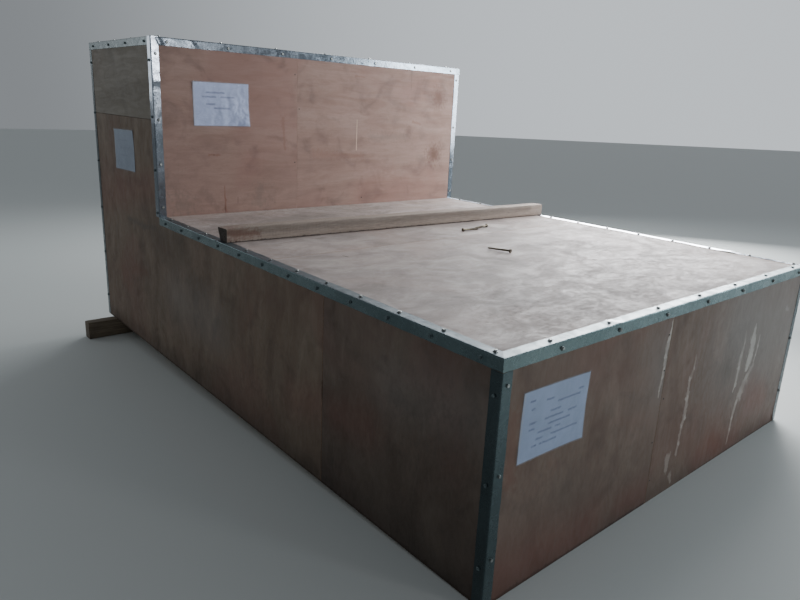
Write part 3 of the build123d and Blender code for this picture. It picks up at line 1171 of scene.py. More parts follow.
@dataclass
class PaperSheet:
    """Paper in a clear pouch, stuck to a sheet of the crate by its corners.

    The paper lies in a plane of two crate axes. curls lift its corners, in the order lower
    left, lower right, upper right, upper left as the reader sees them.
    """

    name: str
    face: Face
    place: Span
    turn: float
    curls: tuple[float, float, float, float]
    crumple: float
    seed: float
    paper: PrintedPaper
    mirrored: bool = False
    width: float = 297.0
    height: float = 210.0
    film_margin: float = 4.0
    film_gap: float = 0.5
    cells: tuple[int, int] = (60, 42)
    lift: float = 0.6
    swell: float = 1.6

    def grid(self, grow: float, gap: float) -> tuple[list[list[float]], Faces, list[Pair]]:
        """Points of the paper or its pouch, over the face of the crate.

        Args:
            grow: How much wider it is than the paper, on each side.
            gap: How far it stands out from the paper.

        Returns:
            Points in crate millimetres, faces, and each point's share of width and height.
        """
        columns, rows = self.cells
        across_axis, up_axis, normal = self.face.value
        cos, sin = math.cos(math.radians(self.turn)), math.sin(math.radians(self.turn))
        points, shares, faces = [], [], []
        for row in range(rows + 1):
            for column in range(columns + 1):
                s, t = column / columns, row / rows
                across = (s - 0.5) * (self.width + 2 * grow)
                up = (t - 0.5) * (self.height + 2 * grow)
                point = [0.0, 0.0, 0.0]
                point[across_axis] = self.place.middle[across_axis] + across * cos - up * sin
                point[up_axis] = self.place.middle[up_axis] + across * sin + up * cos
                point[normal] = self.place.high[normal] - (self.lift + gap + self.wrinkle(s, t))
                points.append(point)
                shares.append((1.0 - s if self.mirrored else s, t))
                if row and column:
                    last = len(points) - 1
                    below = last - columns - 1
                    face = (below - 1, below, last, last - 1)
                    faces.append(face[::-1] if self.mirrored else face)
        return points, faces, shares

    def wrinkle(self, s: float, t: float) -> float:
        """How far the paper stands out.

        Args:
            s: Share of its width.
            t: Share of its height.

        Returns:
            Outward distance.
        """
        lift = self.swell * math.sin(math.pi * s) * math.sin(math.pi * t)
        for (corner_s, corner_t), curl in zip(((0, 0), (1, 0), (1, 1), (0, 1)), self.curls):
            near = max(0.0, 1.0 - math.hypot((s - corner_s) * 1.4, t - corner_t) / 0.55)
            lift += curl * near**2
        spot = Vector((s * 5.0, t * 3.6, self.seed))
        crease = abs(noise.noise(spot)) + 0.5 * abs(noise.noise(spot * 2.3))
        crumpled = 0.35 + max(0.0, 1.0 - math.hypot(s - 0.85, t - 0.25) / 0.6)
        return lift + self.crumple * crumpled * crease

    def build(self, crate: CrateFrame, film: ClearFilm, replaced: Sequence[str]) -> None:
        """Makes the paper and its pouch.

        Args:
            crate: The crate's directions.
            film: Finish of the pouch.
            replaced: CAD nodes that the paper stands for.
        """
        printed, clear = self.paper.material(self.name + "_print"), film.material(self.name + "_film")
        layers = (
            ("_paper", 0.0, 0.0, printed, "paper", replaced),
            ("_pouch", self.film_margin, self.film_gap, clear, "pouch_film", ()),
        )
        for suffix, grow, gap, material, slot, stands_for in layers:
            points, faces, shares = self.grid(grow, gap)
            vertices = map(crate.place, points)
            piece = make_piece(self.name + suffix, vertices, faces, [material], stands_for, 80.0)
            layer = piece.data.uv_layers.new(name="sheet")
            for loop in piece.data.loops:
                layer.data[loop.index].uv = shares[loop.vertex_index]


@dataclass
class SawnBar:
    """Sawn timber bar with worn arrises, in place of a straight CAD bar."""

    name: str
    node: str
    slot: str
    seed: float
    up: Triple
    arris: float = 4.0
    row_step: float = 14.0
    wear: float = 1.2
    wear_length: float = 60.0
    wear_girth: float = 30.0
    end_skew: float = 0.0
    end_drop: float = 0.0
    skew_reach: float = 90.0

    def build(self, crate: CrateFrame, wood: Material, shaded_end_grain: Material) -> Piece:
        """Makes the bar along its node's longest direction.

        Args:
            crate: The crate's directions and nodes.
            wood: The bar's finish.
            shaded_end_grain: Finish of its two sawn ends, darker than the bar: end grain with dirt on it and
                painted shade.

        Returns:
            The new piece.
        """
        corners = np.array([tuple(v.co) for v in crate.nodes[self.node].data.vertices]) / METRES
        centre = (corners.max(axis=0) + corners.min(axis=0)) / 2
        _, _, axes = np.linalg.svd(corners - corners.mean(axis=0))
        run = axes[0] * np.sign(axes[0][0])
        side = np.cross(self.up, run)
        side /= np.linalg.norm(side)
        up = np.cross(run, side)
        length, wide, high = (np.abs((corners - centre) @ axis).max() for axis in (run, side, up))
        outline = self.outline(wide, high)
        rows = round(2 * length / self.row_step)
        points = []
        for row in range(rows + 1):
            place = -length + 2 * length * row / rows
            ends = min(1.0, (length - abs(place)) / self.arris + 0.985)
            near_end = max(0.0, 1.0 - (place + length) / self.skew_reach)
            for y, z in outline:
                spot = (place / self.wear_length, y / self.wear_girth + self.seed, z / self.wear_girth)
                worn = self.wear * (0.5 + noise.noise(Vector(spot)))
                cornered = 0.25 + 0.75 * math.exp(-((wide - abs(y)) + (high - abs(z))) / 9.0)
                shrink = ends * (1.0 - worn * cornered / max(abs(y), abs(z), 1.0))
                raised = near_end * (1.0 + z / high) / 2
                along = place - self.end_skew * raised * (1.0 + y / wide) / 2
                lift = z * shrink - self.end_drop * raised
                points.append((centre + run * along + side * y * shrink + up * lift) * METRES)
        faces = loft(rows + 1, len(outline))
        bar = make_piece(self.name, points, faces, [wood, shaded_end_grain], (self.node,), 50.0)
        for polygon in bar.data.polygons[-2:]:
            polygon.material_index = 1
        return bar

    def outline(self, wide: float, high: float) -> list[Pair]:
        """Section of the bar: a rectangle with rounded corners and points along its sides.

        Args:
            wide: Half its width.
            high: Half its height.

        Returns:
            The points, from the lower corner round.
        """
        r = self.arris
        arcs = [
            [
                (sx * (wide - r) + r * math.cos(turn), sz * (high - r) + r * math.sin(turn))
                for turn in np.radians([first, first + 30, first + 60, first + 90])
            ]
            for sx, sz, first in ((1, -1, -90), (1, 1, 0), (-1, 1, 90), (-1, -1, 180))
        ]
        points = []
        for arc, following in zip(arcs, arcs[1:] + arcs[:1]):
            points += arc
            for share in (0.25, 0.5, 0.75):
                points.append(tuple(a + (b - a) * share for a, b in zip(arc[-1], following[0])))
        return points


@dataclass
class CoachScrews:
    """Loose coach screws on the low lid: hexagon head, plain neck, thread and point."""

    node: str = "coach_screws"
    flats: float = 17.0
    head_height: float = 7.0
    core_radius: float = 3.7
    shank_radius: float = 5.0
    neck_share: float = 0.35
    thread_start: float = 4.0
    point_length: float = 11.0
    end_depth: float = 1.5
    pitch: float = 4.2
    sides: int = 28
    rows_per_turn: int = 8

    def axes(self, crate: CrateFrame) -> list[tuple[Vector, Vector]]:
        """Finds where each screw lies.

        Args:
            crate: The crate's directions and nodes.

        Returns:
            Top of the head and tip of each screw, in crate millimetres.
        """
        found = []
        for island in crate.islands(self.node):
            points = np.array([tuple(p) for p in island])
            middle = points.mean(axis=0)
            _, _, axes = np.linalg.svd(points - middle)
            along = (points - middle) @ axes[0]
            off = np.linalg.norm(points - middle - np.outer(along, axes[0]), axis=1)
            at_end = [np.abs(along - end) < self.end_depth for end in (along.min(), along.max())]
            tip, head = np.argsort([off[near].max() for near in at_end])
            found.append(tuple(span_of(points[at_end[end]]).middle for end in (head, tip)))
        return found

    def radius(self, along: float, turn: float, length: float) -> float:
        """Radius of the shank.

        Args:
            along: Distance from the head.
            turn: Angle round the shank.
            length: Length of the shank.

        Returns:
            The radius.
        """
        neck = length * self.neck_share
        if along < neck:
            return self.shank_radius * 0.96
        phase = (along / self.pitch - turn / (2 * math.pi)) % 1.0
        ridge = max(0.0, 1.0 - abs(phase - 0.5) * 3.2) * min(1.0, (along - neck) / self.thread_start)
        taper = min(1.0, max(0.06, (length - along) / self.point_length))
        return (self.core_radius + (self.shank_radius - self.core_radius) * ridge) * taper

    def build(self, crate: CrateFrame, finish: PlainMetal) -> Piece:
        """Makes the screws as one piece.

        Args:
            crate: The crate's directions and nodes.
            finish: The plating.

        Returns:
            The new piece.
        """
        screws = Cluster(self.sides)
        hexagon = screws.hexagon(self.flats)
        flat = np.minimum(hexagon, self.flats / 2)
        for top, tip in self.axes(crate):
            length = (tip - top).length - self.head_height
            rings = [(flat * 0.35, 0.5), (flat * 0.93, 0.0), (hexagon * 0.985, 0.9)]
            rings += [(hexagon * 0.985, self.head_height - 0.3), (flat * 0.6, self.head_height)]
            steps = round(length / self.pitch * self.rows_per_turn)
            for along in np.arange(steps + 1) * length / steps:
                ring = [self.radius(along, turn, length) for turn in screws.around]
                rings.append((ring, self.head_height + along))
            screws.add(crate.stand(top, tip - top), rings)
        plating = [finish.material("coach_screw_plating")]
        return make_piece(
            "loose_coach_screws", screws.vertices, screws.faces, plating, (self.node,), 35.0
        )


@dataclass
class PanelNails:
    """Small nail heads that hold the sheets to the timbers behind them."""

    spots: dict[str, tuple[Pair, ...]]
    radius: float = 3.6
    stand: float = 0.5
    sunk: float = 0.3
    sides: int = 10

    def build(self, crate: CrateFrame, finish: PlainMetal) -> Piece:
        """Makes all the nail heads as one piece.

        Args:
            crate: The crate's directions.
            finish: The steel.

        Returns:
            The new piece.
        """
        nails = Cluster(self.sides)
        rings = ((self.radius, -self.sunk), (self.radius, self.stand * 0.7), (self.radius * 0.7, self.stand))
        for node, places in self.spots.items():
            for x, z in places:
                seat = Vector((x, crate.span(node).low.y, z))
                nails.add(crate.stand(seat, Vector((0, -1, 0))), rings)
        steel = [finish.material("nail_steel")]
        return make_piece("panel_nails", nails.vertices, nails.faces, steel, sharp=30.0)


@dataclass
class SeamFiller:
    """Thin line of wood filler in the joint between two neighbouring sheets."""

    left: str
    right: str
    depth: float = 3.0
    sunk: float = 0.5
    row_step: float = 12.0
    end_gap: float = 1.0
    wave_length: float = 27.0

    def build(self, crate: CrateFrame, finish: SawnTimber) -> Piece:
        """Makes the filler from the foot of the joint to its top.

        Args:
            crate: The crate's directions and nodes.
            finish: The filler's finish.

        Returns:
            The new piece.
        """
        left, right = crate.span(self.left), crate.span(self.right)
        start, end = left.low.z + self.end_gap, left.high.z - self.end_gap
        rows = round((end - start) / self.row_step)
        vertices = []
        for row in range(rows + 1):
            z = start + (end - start) * row / rows
            wave = noise.noise(Vector((z / self.wave_length, 0.4, 0.0)))
            face = left.low.y + self.sunk * (1.0 + wave)
            near, far = left.high.x, right.low.x
            corners = ((near, 0.0), (far, 0.0), (far, self.depth), (near, self.depth))
            vertices += [crate.place((x, face + deep, z)) for x, deep in corners]
        wood = [finish.material("seam_filler", crate, Axis.Z, 40.0)]
        return make_piece("step_seam_filler", vertices, loft(rows + 1, 4), wood)


@dataclass(frozen=True)
class Lamp:
    """Soft rectangular lamp, in the frame's metres and in watts."""

    name: str
    place: Triple
    goal: Triple
    size: Pair
    power: float
    colour: Colour

    def hang(self) -> None:
        """Hangs the lamp, aimed at its goal and out of the camera's sight."""
        data = bpy.data.lights.new(self.name, "AREA")
        data.shape = "RECTANGLE"
        data.size, data.size_y = self.size
        data.energy = self.power
        data.color = self.colour
        lamp = bpy.data.objects.new(self.name, data)
        lamp.location = self.place
        aim = Vector(self.goal) - Vector(self.place)
        lamp.rotation_euler = aim.to_track_quat("-Z", "Y").to_euler()
        lamp.visible_camera = False
        bpy.context.scene.collection.objects.link(lamp)


@dataclass
class Studio:
    """Plain pale floor, soft light and the camera, whose place is in the crate's directions."""

    lamps: Sequence[Lamp]
    eye: Triple = (-1205.2, -998.0, 1345.8)
    forward: Triple = (0.640321, 0.720413, -0.266447)
    rightward: Triple = (0.755619, -0.653095, 0.050066)
    focal_pixels: float = 661.07
    centre_pixel: Pair = (412.37, 289.38)
    image: tuple[int, int] = (800, 600)
    sensor_width: float = 36.0
    floor_reach: float = 60.0
    floor_tone: Colour = shown_as((196, 200, 198))[0]
    room_tone: Colour = (0.88, 0.94, 1.0)
    window_side: Triple = (0.95, 0.28, 0.16)
    window_spread: Pair = (0.45, 1.0)
    room_strength: Pair = (0.27, 0.8)

    def place_camera(self, crate: CrateFrame) -> None:
        """Puts the camera where the crate is seen as in the photograph.

        Args:
            crate: The crate's directions.
        """
        wide, high = self.image
        data = bpy.data.cameras.new("camera")
        data.sensor_width = self.sensor_width
        data.lens = self.sensor_width * self.focal_pixels / wide
        data.shift_x = (wide / 2 - self.centre_pixel[0]) / wide
        data.shift_y = (self.centre_pixel[1] - high / 2) / wide
        camera = bpy.data.objects.new("camera", data)
        ahead, right = crate.heading(self.forward), crate.heading(self.rightward)
        turn = Matrix((right, right.cross(ahead), -ahead)).transposed().to_4x4()
        camera.matrix_world = Matrix.Translation(crate.place(self.eye)) @ turn
        bpy.context.scene.collection.objects.link(camera)
        bpy.context.scene.camera = camera

    def lay_floor(self) -> None:
        """Lays a plain floor a little below the crate's lowest point."""
        mesh = bpy.data.meshes.new("floor")
        r = self.floor_reach
        mesh.from_pydata([(-r, -r, 0), (r, -r, 0), (r, r, 0), (-r, r, 0)], [], [(0, 1, 2, 3)])
        mesh.materials.append(Recipe("floor_paint").finish(Base_Color=self.floor_tone, Roughness=0.65))
        floor = bpy.data.objects.new("floor", mesh)
        floor.location.z = -METRES
        bpy.context.scene.collection.objects.link(floor)

    def light(self) -> None:
        """Adds the lamps, and a plain room that is paler on the side where its windows are."""
        world = bpy.data.worlds.new("studio")
        world.use_nodes = True
        tree = world.node_tree
        background = tree.nodes["Background"]
        background.inputs["Color"].default_value = (*self.room_tone, 1.0)
        towards = tree.nodes.new("ShaderNodeVectorMath")
        towards.operation = "DOT_PRODUCT"
        towards.inputs[1].default_value = self.window_side
        strength = tree.nodes.new("ShaderNodeMapRange")
        strength.interpolation_type = "SMOOTHSTEP"
        for socket, value in zip(strength.inputs[1:5], (*self.window_spread, *self.room_strength)):
            socket.default_value = value
        tree.links.new(tree.nodes.new("ShaderNodeTexCoord").outputs["Generated"], towards.inputs[0])
        tree.links.new(towards.outputs["Value"], strength.inputs[0])
        tree.links.new(strength.outputs[0], background.inputs["Strength"])
        bpy.context.scene.world = world
        for lamp in self.lamps:
            lamp.hang()


STEP_VENEER = Veneer(
    shown_as((124, 98, 88), (138, 111, 101), (148, 123, 113), (132, 99, 90)), leaf_joint=0.95
)
# Darker copies of the step face's plywood for the near end and the left side: painted shade on faces that
# turn from the lamps.
SHADED_END_VENEER = Veneer(
    shown_as((110, 91, 80), (121, 103, 92), (131, 114, 103), (124, 94, 83)),
    grime=0.25, streaks=0.35, mottle=0.06, grain_squash=0.34,
)
SHADED_SIDE_VENEER = Veneer(
    shown_as((108, 91, 78), (121, 104, 90), (132, 117, 102), (121, 94, 83)),
    streaks=0.35, mottle=0.08, grain_squash=0.4,
)
# Darker still for the near part of the left side: more painted shade.
DEEP_SHADED_SIDE_VENEER = replace(
    SHADED_SIDE_VENEER, tones=shown_as((99, 84, 74), (110, 95, 85), (120, 106, 95), (110, 85, 77))
)
TALL_SIDE_VENEER = Veneer(
    shown_as((122, 114, 104), (134, 126, 116), (142, 135, 125), (130, 117, 106)), grime=0.15, streaks=0.3
)
# Paler copy of the plywood for the lids: painted light on the tops.
LIT_LID_VENEER = Veneer(
    shown_as((147, 135, 130), (160, 148, 143), (172, 161, 156), (157, 139, 131)),
    grime=0.25, roughness=0.68, streaks=0.35, mottle=0.16, gloss_patches=0.06, grain_squash=0.6,
)
DECK_VENEER = Veneer(shown_as((128, 98, 76), (156, 126, 100), (178, 150, 122), (140, 104, 80)))
# Copies of the same galvanising in different brightness and gloss. They go to the legs of the angles mostly
# by which way each leg faces: the paler ones paint light and window sheen, the darker ones paint shade and
# the dark floor's reflection.
END_ZINC = Galvanising(shown_as((122, 139, 140), (102, 120, 121), (84, 99, 99)))
SHADE_ZINC = Galvanising(shown_as((102, 117, 120), (88, 103, 106), (72, 86, 88)))
DARK_ZINC = Galvanising(shown_as((78, 89, 92), (66, 76, 79), (54, 62, 64)))
MID_ZINC = Galvanising(shown_as((122, 129, 138), (104, 112, 120), (88, 94, 102)), roughness=0.15)
MATT_ZINC = Galvanising(shown_as((112, 121, 126), (98, 107, 112), (84, 92, 96)), roughness=0.42)
SATIN_ZINC = Galvanising(shown_as((132, 143, 147), (114, 126, 130), (96, 106, 110)), roughness=0.36)
PALE_ZINC = Galvanising(shown_as((174, 180, 190), (152, 160, 171), (126, 132, 142)), roughness=0.08)
HEAD_FINISHES = {
    "screw_plating": PlainMetal(shown_as((176, 180, 178), (96, 94, 90)), roughness=0.3),
    "screw_washer": PlainMetal(shown_as((68, 72, 74), (40, 42, 44)), roughness=0.5, metallic=0.2),
    # Darker copy of the plating for heads on the crate's left side: painted shade.
    "shaded_screw_plating": PlainMetal(shown_as((118, 131, 134), (86, 96, 99)), roughness=0.45),
}
COACH_PLATING = PlainMetal(shown_as((122, 112, 96), (62, 56, 50)), roughness=0.3)
NAIL_STEEL = PlainMetal(shown_as((78, 72, 68), (40, 34, 30)), roughness=0.5)
FRAME_TIMBER = SawnTimber(shown_as((168, 134, 98), (204, 174, 136), (140, 118, 96)))
BATTEN_TIMBER = SawnTimber(shown_as((148, 132, 121), (160, 146, 135), (144, 130, 120)), weathering=0.4)
# Dark end grain with dirt, darker still as painted shade on the batten's end, which faces away from the
# lamps.
SHADED_END_GRAIN = SawnTimber(shown_as((54, 48, 45), (76, 67, 61), (46, 42, 40)))
FILLER = SawnTimber(shown_as((118, 92, 82), (150, 124, 113), (172, 150, 140)), weathering=0.5)
PROP_TIMBER = SawnTimber(shown_as((98, 88, 74), (124, 112, 96), (80, 74, 66)), weathering=0.7)
NEAR_PAPER = PrintedPaper(
    shown_as((164, 179, 209), (62, 72, 118)),
    (
        (0.85, 0.10, 0.18),
        (0.80, 0.34, 0.46, 0.84, 0.92),
        (0.73, 0.13, 0.18, 0.52, 0.88),
        (0.62, 0.42, 0.58),
        (0.53, 0.12, 0.22, 0.34, 0.62, 0.70, 0.84),
        (0.44, 0.12, 0.20, 0.40, 0.74),
        (0.36, 0.26, 0.46, 0.52, 0.60),
        (0.27, 0.24, 0.34, 0.46, 0.88),
        (0.18, 0.18, 0.26, 0.30, 0.56),
    ),
    bar_height=0.034,
    strength=0.74,
)
STEP_PAPER = PrintedPaper(
    shown_as((166, 176, 209), (58, 64, 104)),
    ((0.77, 0.22, 0.56), (0.67, 0.16, 0.40, 0.48, 0.74), (0.50, 0.22, 0.38), (0.41, 0.36, 0.64)),
    bar_height=0.046,
    strength=0.76,
)
# Darker and greyer than the other papers: painted shade of the crate's left side.
SHADED_SIDE_PAPER = PrintedPaper(
    shown_as((142, 152, 168), (84, 92, 112)),
    ((0.74, 0.2, 0.7), (0.55, 0.3, 0.8), (0.36, 0.3, 0.66)),
    strength=0.35,
)
NAIL_SPOTS = {
    "near_end_left_sheet": ((843, 652), (847, 522), (876, 410), (845, 250), (872, 90)),
    "step_face_left_sheet": ((1248, 790), (775, 1480), (802, 1300), (775, 1010)),
}
LAMPS = (
    Lamp("window", (2.15, -0.3, 1.75), (-0.3, 0.1, 0.85), (2.0, 1.5), 104.0, (0.97, 0.985, 1.0)),
    Lamp("rear_window", (4.1, 4.2, 3.1), (0.3, -0.6, 0.75), (3.2, 2.6), 165.0, (0.92, 0.97, 1.0)),
    Lamp("low_window", (5.6, 1.8, 1.7), (0.9, -0.4, 0.75), (2.4, 1.2), 290.0, (0.96, 0.98, 1.0)),
    Lamp("end_softbox", (5.6, -4.4, 2.0), (0.6, -1.6, 0.4), (1.6, 1.6), 98.0, (0.74, 0.9, 1.0)),
    Lamp("side_fill", (-3.4, 5.6, 2.6), (-1.0, 1.2, 1.2), (2.2, 2.2), 24.0, (0.92, 0.97, 1.0)),
    Lamp("far_window", (3.0, -10.4, 2.6), (-0.9, 0.7, 1.5), (1.2, 2.4), 104.0, (0.96, 0.98, 1.0)),
)
BATTEN_MARKS = marks(
    (MarkKind.STAIN, 0.62, (40, 790, 44), (150, 785, 22)),
    # Painted shade along the upper part of the batten's front.
    (MarkKind.PAINTED_SHADE, 0.34, (0, 798, 30), (1900, 798, 24)),
    # Dark line along the batten's foot: painted contact shadow where it rests on the lid, not a crack.
    (MarkKind.CRACK, 0.7, (30, 751, 4.5), (2000, 751, 3.5)),
)
SHEET_MARKS = {
    "near_end_left_sheet": marks(
        (MarkKind.SCUFF, 0.6, (871, 716, 12), (861, 664, 15), (850, 638, 13)),
        (MarkKind.SCUFF, 0.5, (850, 638, 13), (842, 575, 9), (843, 529, 8), (841, 497, 9)),
        (MarkKind.SCUFF, 0.4, (841, 497, 9), (834, 450, 6), (836, 424, 3)),
        # Darker wash low on the near end: painted shade near the floor.
        (MarkKind.PAINTED_SHADE, 0.42, (-100, -60, 460), (1220, -60, 300)),
        (MarkKind.BLUSH, 0.4, (60, 60, 200), (480, 60, 160)),
        (MarkKind.BLUSH, 0.3, (700, 60, 100), (1180, 50, 90)),
        (MarkKind.GREY, 0.35, (900, 560, 260), (1220, 520, 320)),
        # Dark line along the sheet's foot: painted contact shadow at the floor, not a crack.
        (MarkKind.CRACK, 0.55, (0, 3, 10), (1220, 2, 6)),
        (MarkKind.STAIN, 0.35, (60, 560, 40), (70, 380, 40)),
        (MarkKind.DAMP, 0.25, (300, 260, 120), (420, 180, 160)),
    ),
    "near_end_right_sheet": marks(
        (MarkKind.SCUFF, 0.88, (1576, 560, 3), (1578, 491, 26), (1581, 417, 26), (1565, 361, 13)),
        (MarkKind.SCUFF, 0.5, (1640, 497, 5), (1640, 447, 9), (1632, 410, 9), (1623, 385, 4)),
        (MarkKind.SCUFF, 0.34, (1488, 545, 2), (1496, 491, 9), (1484, 442, 12)),
        (MarkKind.SCUFF, 0.55, (1484, 442, 12), (1481, 386, 13), (1478, 312, 11), (1466, 285, 4)),
        (MarkKind.SCUFF, 0.3, (1626, 366, 12), (1580, 325, 22), (1548, 255, 24), (1523, 223, 16)),
        (MarkKind.SCUFF, 0.36, (1523, 223, 16), (1508, 154, 11), (1509, 102, 9), (1502, 34, 4)),
        (MarkKind.SCUFF, 0.18, (1073, 530, 4), (1075, 479, 7), (1056, 439, 10)),
        (MarkKind.SCUFF, 0.3, (1056, 439, 10), (1058, 365, 12), (1065, 282, 12), (1053, 251, 9)),
        (MarkKind.SCUFF, 0.26, (1053, 251, 8), (1049, 182, 9), (1046, 138, 6)),
        (MarkKind.SCUFF, 0.26, (982, 145, 20), (985, 92, 14)),
        (MarkKind.SCUFF, 0.22, (1025, 56, 12), (1036, 24, 8)),
        (MarkKind.SCUFF, 0.3, (1885, 574, 12), (1905, 566, 9)),
        (MarkKind.PATCH, 0.06, (1262, 650, 64), (1268, 525, 60), (1300, 450, 14)),
        (MarkKind.CRACK, 0.08, (1190, 624, 7), (1205, 490, 5), (1290, 438, 2)),
        # Paler grey over the right part of the near end: painted sheen of the light from the right.
        (MarkKind.GREY, 0.62, (1500, 560, 460), (1990, 480, 460)),
        (MarkKind.BLUSH, 0.3, (1640, 230, 130), (1800, 170, 90)),
        (MarkKind.BLUSH, 0.3, (1240, 60, 90), (1560, 40, 90)),
        # Dark line along the sheet's foot: painted contact shadow at the floor, not a crack.
        (MarkKind.CRACK, 0.45, (1220, 1, 6), (1990, 1, 5)),
        (MarkKind.STAIN, 0.4, (1340, 110, 60), (1400, 60, 60)),
        (MarkKind.DAMP, 0.3, (1310, 420, 60), (1420, 380, 70)),
    ),
    "step_face_left_sheet": marks(
        (MarkKind.STAIN, 0.3, (1098, 1225, 14), (1102, 1140, 20), (1104, 800, 16)),
        (MarkKind.BLUSH, 0.4, (1100, 1180, 16), (1102, 1090, 18)),
        (MarkKind.CRACK, 0.7, (297, 1054, 5)),
        (MarkKind.STAIN, 0.6, (270, 1056, 6), (330, 1053, 5)),
        (MarkKind.STAIN, 0.7, (356, 760, 10), (352, 830, 5), (351, 893, 2)),
        (MarkKind.CRACK, 0.5, (352, 752, 3), (350, 800, 1.2)),
        (MarkKind.DAMP, 0.3, (545, 800, 50), (560, 880, 30)),
        (MarkKind.CRACK, 0.6, (425, 800, 1.4), (425, 832, 0.7)),
        (MarkKind.CRACK, 0.5, (648, 790, 1.2), (648, 820, 0.6)),
        (MarkKind.STAIN, 0.35, (700, 1250, 16), (712, 1080, 8)),
        (MarkKind.DAMP, 0.3, (120, 800, 60)),
    ),
    "step_face_right_sheet": marks(
        (MarkKind.KNOT, 0.85, (1850, 1410, 78)),
        (MarkKind.KNOT, 0.9, (1836, 1048, 80)),
        (MarkKind.KNOT, 0.55, (1606, 1190, 42)),
        (MarkKind.BLUSH, 0.2, (1260, 860, 160), (1900, 850, 130)),
        (MarkKind.CRACK, 0.35, (1610, 1560, 2), (1612, 1440, 1.2)),
        (MarkKind.PATCH, 0.8, (1200, 1077, 4), (1200, 1252, 2.4)),
        (MarkKind.STAIN, 0.25, (900, 1050, 30), (1250, 1040, 20)),
        (MarkKind.DAMP, 0.25, (1300, 1150, 20), (1600, 1160, 30)),
        (MarkKind.STAIN, 0.4, (1640, 1250, 14), (1700, 1240, 10)),
        (MarkKind.STAIN, 0.4, (1180, 1500, 6), (1250, 1496, 4)),
    ),
    "low_lid_near_sheet": marks(
        (MarkKind.CRACK, 0.8, (315, 1145, 3), (321, 1119, 3)),
        (MarkKind.CRACK, 0.7, (1145, 622, 3), (1153, 597, 3)),
        (MarkKind.CRACK, 0.6, (1219, 572, 4), (1222, 562, 4)),
        (MarkKind.DAMP, 0.3, (1250, 700, 50), (1500, 760, 80)),
        (MarkKind.DAMP, 0.25, (1500, 480, 70), (1800, 560, 90)),
        (MarkKind.DAMP, 0.25, (300, 300, 70), (620, 420, 90)),
        (MarkKind.DAMP, 0.3, (140, 180, 50), (360, 120, 80)),
        (MarkKind.DAMP, 0.25, (700, 250, 60), (1000, 200, 90)),
    ),
    "low_lid_rear_sheet": marks(
        (MarkKind.DAMP, 0.3, (1500, 900, 40), (1700, 940, 70)),
        # Darker wash behind the batten: painted shadow of the tall part.
        (MarkKind.DAMP, 0.35, (200, 1900, 160), (1000, 2100, 260)),
    ),
    "side_left_near_sheet": marks(
        (MarkKind.BLUSH, 0.35, (560, 330, 130), (720, 300, 110)),
        (MarkKind.GREY, 0.25, (100, 560, 160), (420, 520, 160)),
        (MarkKind.DAMP, 0.3, (300, 520, 110)),
        (MarkKind.CRACK, 0.5, (807, 400, 4), (807, 330, 3)),
        # Dark wash low on the left side: painted shade near the floor.
        (MarkKind.PAINTED_SHADE, 0.62, (-60, 0, 640), (811, -40, 420)),
        # Dark line along the sheet's foot: painted contact shadow at the floor, not a crack.
        (MarkKind.CRACK, 0.55, (0, 3, 10), (811, 2, 8)),
    ),
    "side_left_step_sheet": marks(
        (MarkKind.BLUSH, 0.35, (2360, 900, 120), (3150, 760, 150)),
        (MarkKind.DAMP, 0.55, (2330, 690, 14), (2500, 668, 26), (2740, 676, 16)),
        (MarkKind.STAIN, 0.3, (2500, 420, 30), (2700, 400, 60)),
        (MarkKind.STAIN, 0.35, (2860, 330, 110)),
        (MarkKind.DAMP, 0.3, (1500, 420, 160)),
        (MarkKind.DAMP, 0.25, (1100, 300, 120)),
        (MarkKind.GREY, 0.3, (1700, 360, 200), (2100, 380, 200)),
        (MarkKind.BLUSH, 0.25, (820, 300, 120), (1000, 260, 120)),
        (MarkKind.CRACK, 0.5, (811, 400, 4), (811, 330, 3)),
        (MarkKind.CRACK, 0.7, (811, 135, 2.4), (811, 55, 1.8)),
        # Dark wash low on the left side: painted shade near the floor.
        (MarkKind.PAINTED_SHADE, 0.32, (811, -40, 360), (2300, -60, 150)),
        # Painted shade just below the low lid's height, towards the step.
        (MarkKind.PAINTED_SHADE, 0.3, (2050, 640, 150), (2330, 660, 130)),
        # Dark line along the sheet's foot: painted contact shadow at the floor, not a crack.
        (MarkKind.CRACK, 0.55, (811, 2, 8), (3200, 2, 8)),
    ),
}


def sheet_looks() -> list[SheetLook]:
    """Finishes all the plywood sheets, each with a seed of its own.

    Returns:
        Their looks.
    """
    # Sheets take lit and shaded copies of the veneer by which way they face.
    groups = (
        (SHADED_END_VENEER, Face.END, Axis.Z, "near_end_left_sheet near_end_right_sheet"),
        (STEP_VENEER, Face.END, Axis.X, "step_face_left_sheet step_face_right_sheet"),
        (STEP_VENEER, Face.END, Axis.X, "back_end_left_sheet back_end_right_sheet"),
        (LIT_LID_VENEER, Face.LID, Axis.X, "low_lid_near_sheet low_lid_rear_sheet tall_lid_sheet"),
        (DEEP_SHADED_SIDE_VENEER, Face.SIDE, Axis.Z, "side_left_near_sheet"),
        (SHADED_SIDE_VENEER, Face.SIDE, Axis.Z, "side_left_step_sheet"),
        (TALL_SIDE_VENEER, Face.SIDE, Axis.Y, "side_left_top_sheet"),
        (STEP_VENEER, Face.SIDE, Axis.Y, "side_right_near_sheet side_right_step_sheet side_right_top_sheet"),
        (DECK_VENEER, Face.LID, Axis.X, "deck_near deck_middle deck_rear"),
    )
    looks: list[SheetLook] = []
    for veneer, face, grain, nodes in groups:
        for node in nodes.split():
            laid = SHEET_MARKS.get(node, ())
            looks.append(SheetLook(node, veneer, face, grain, 1.0 + len(looks), laid))
    return looks


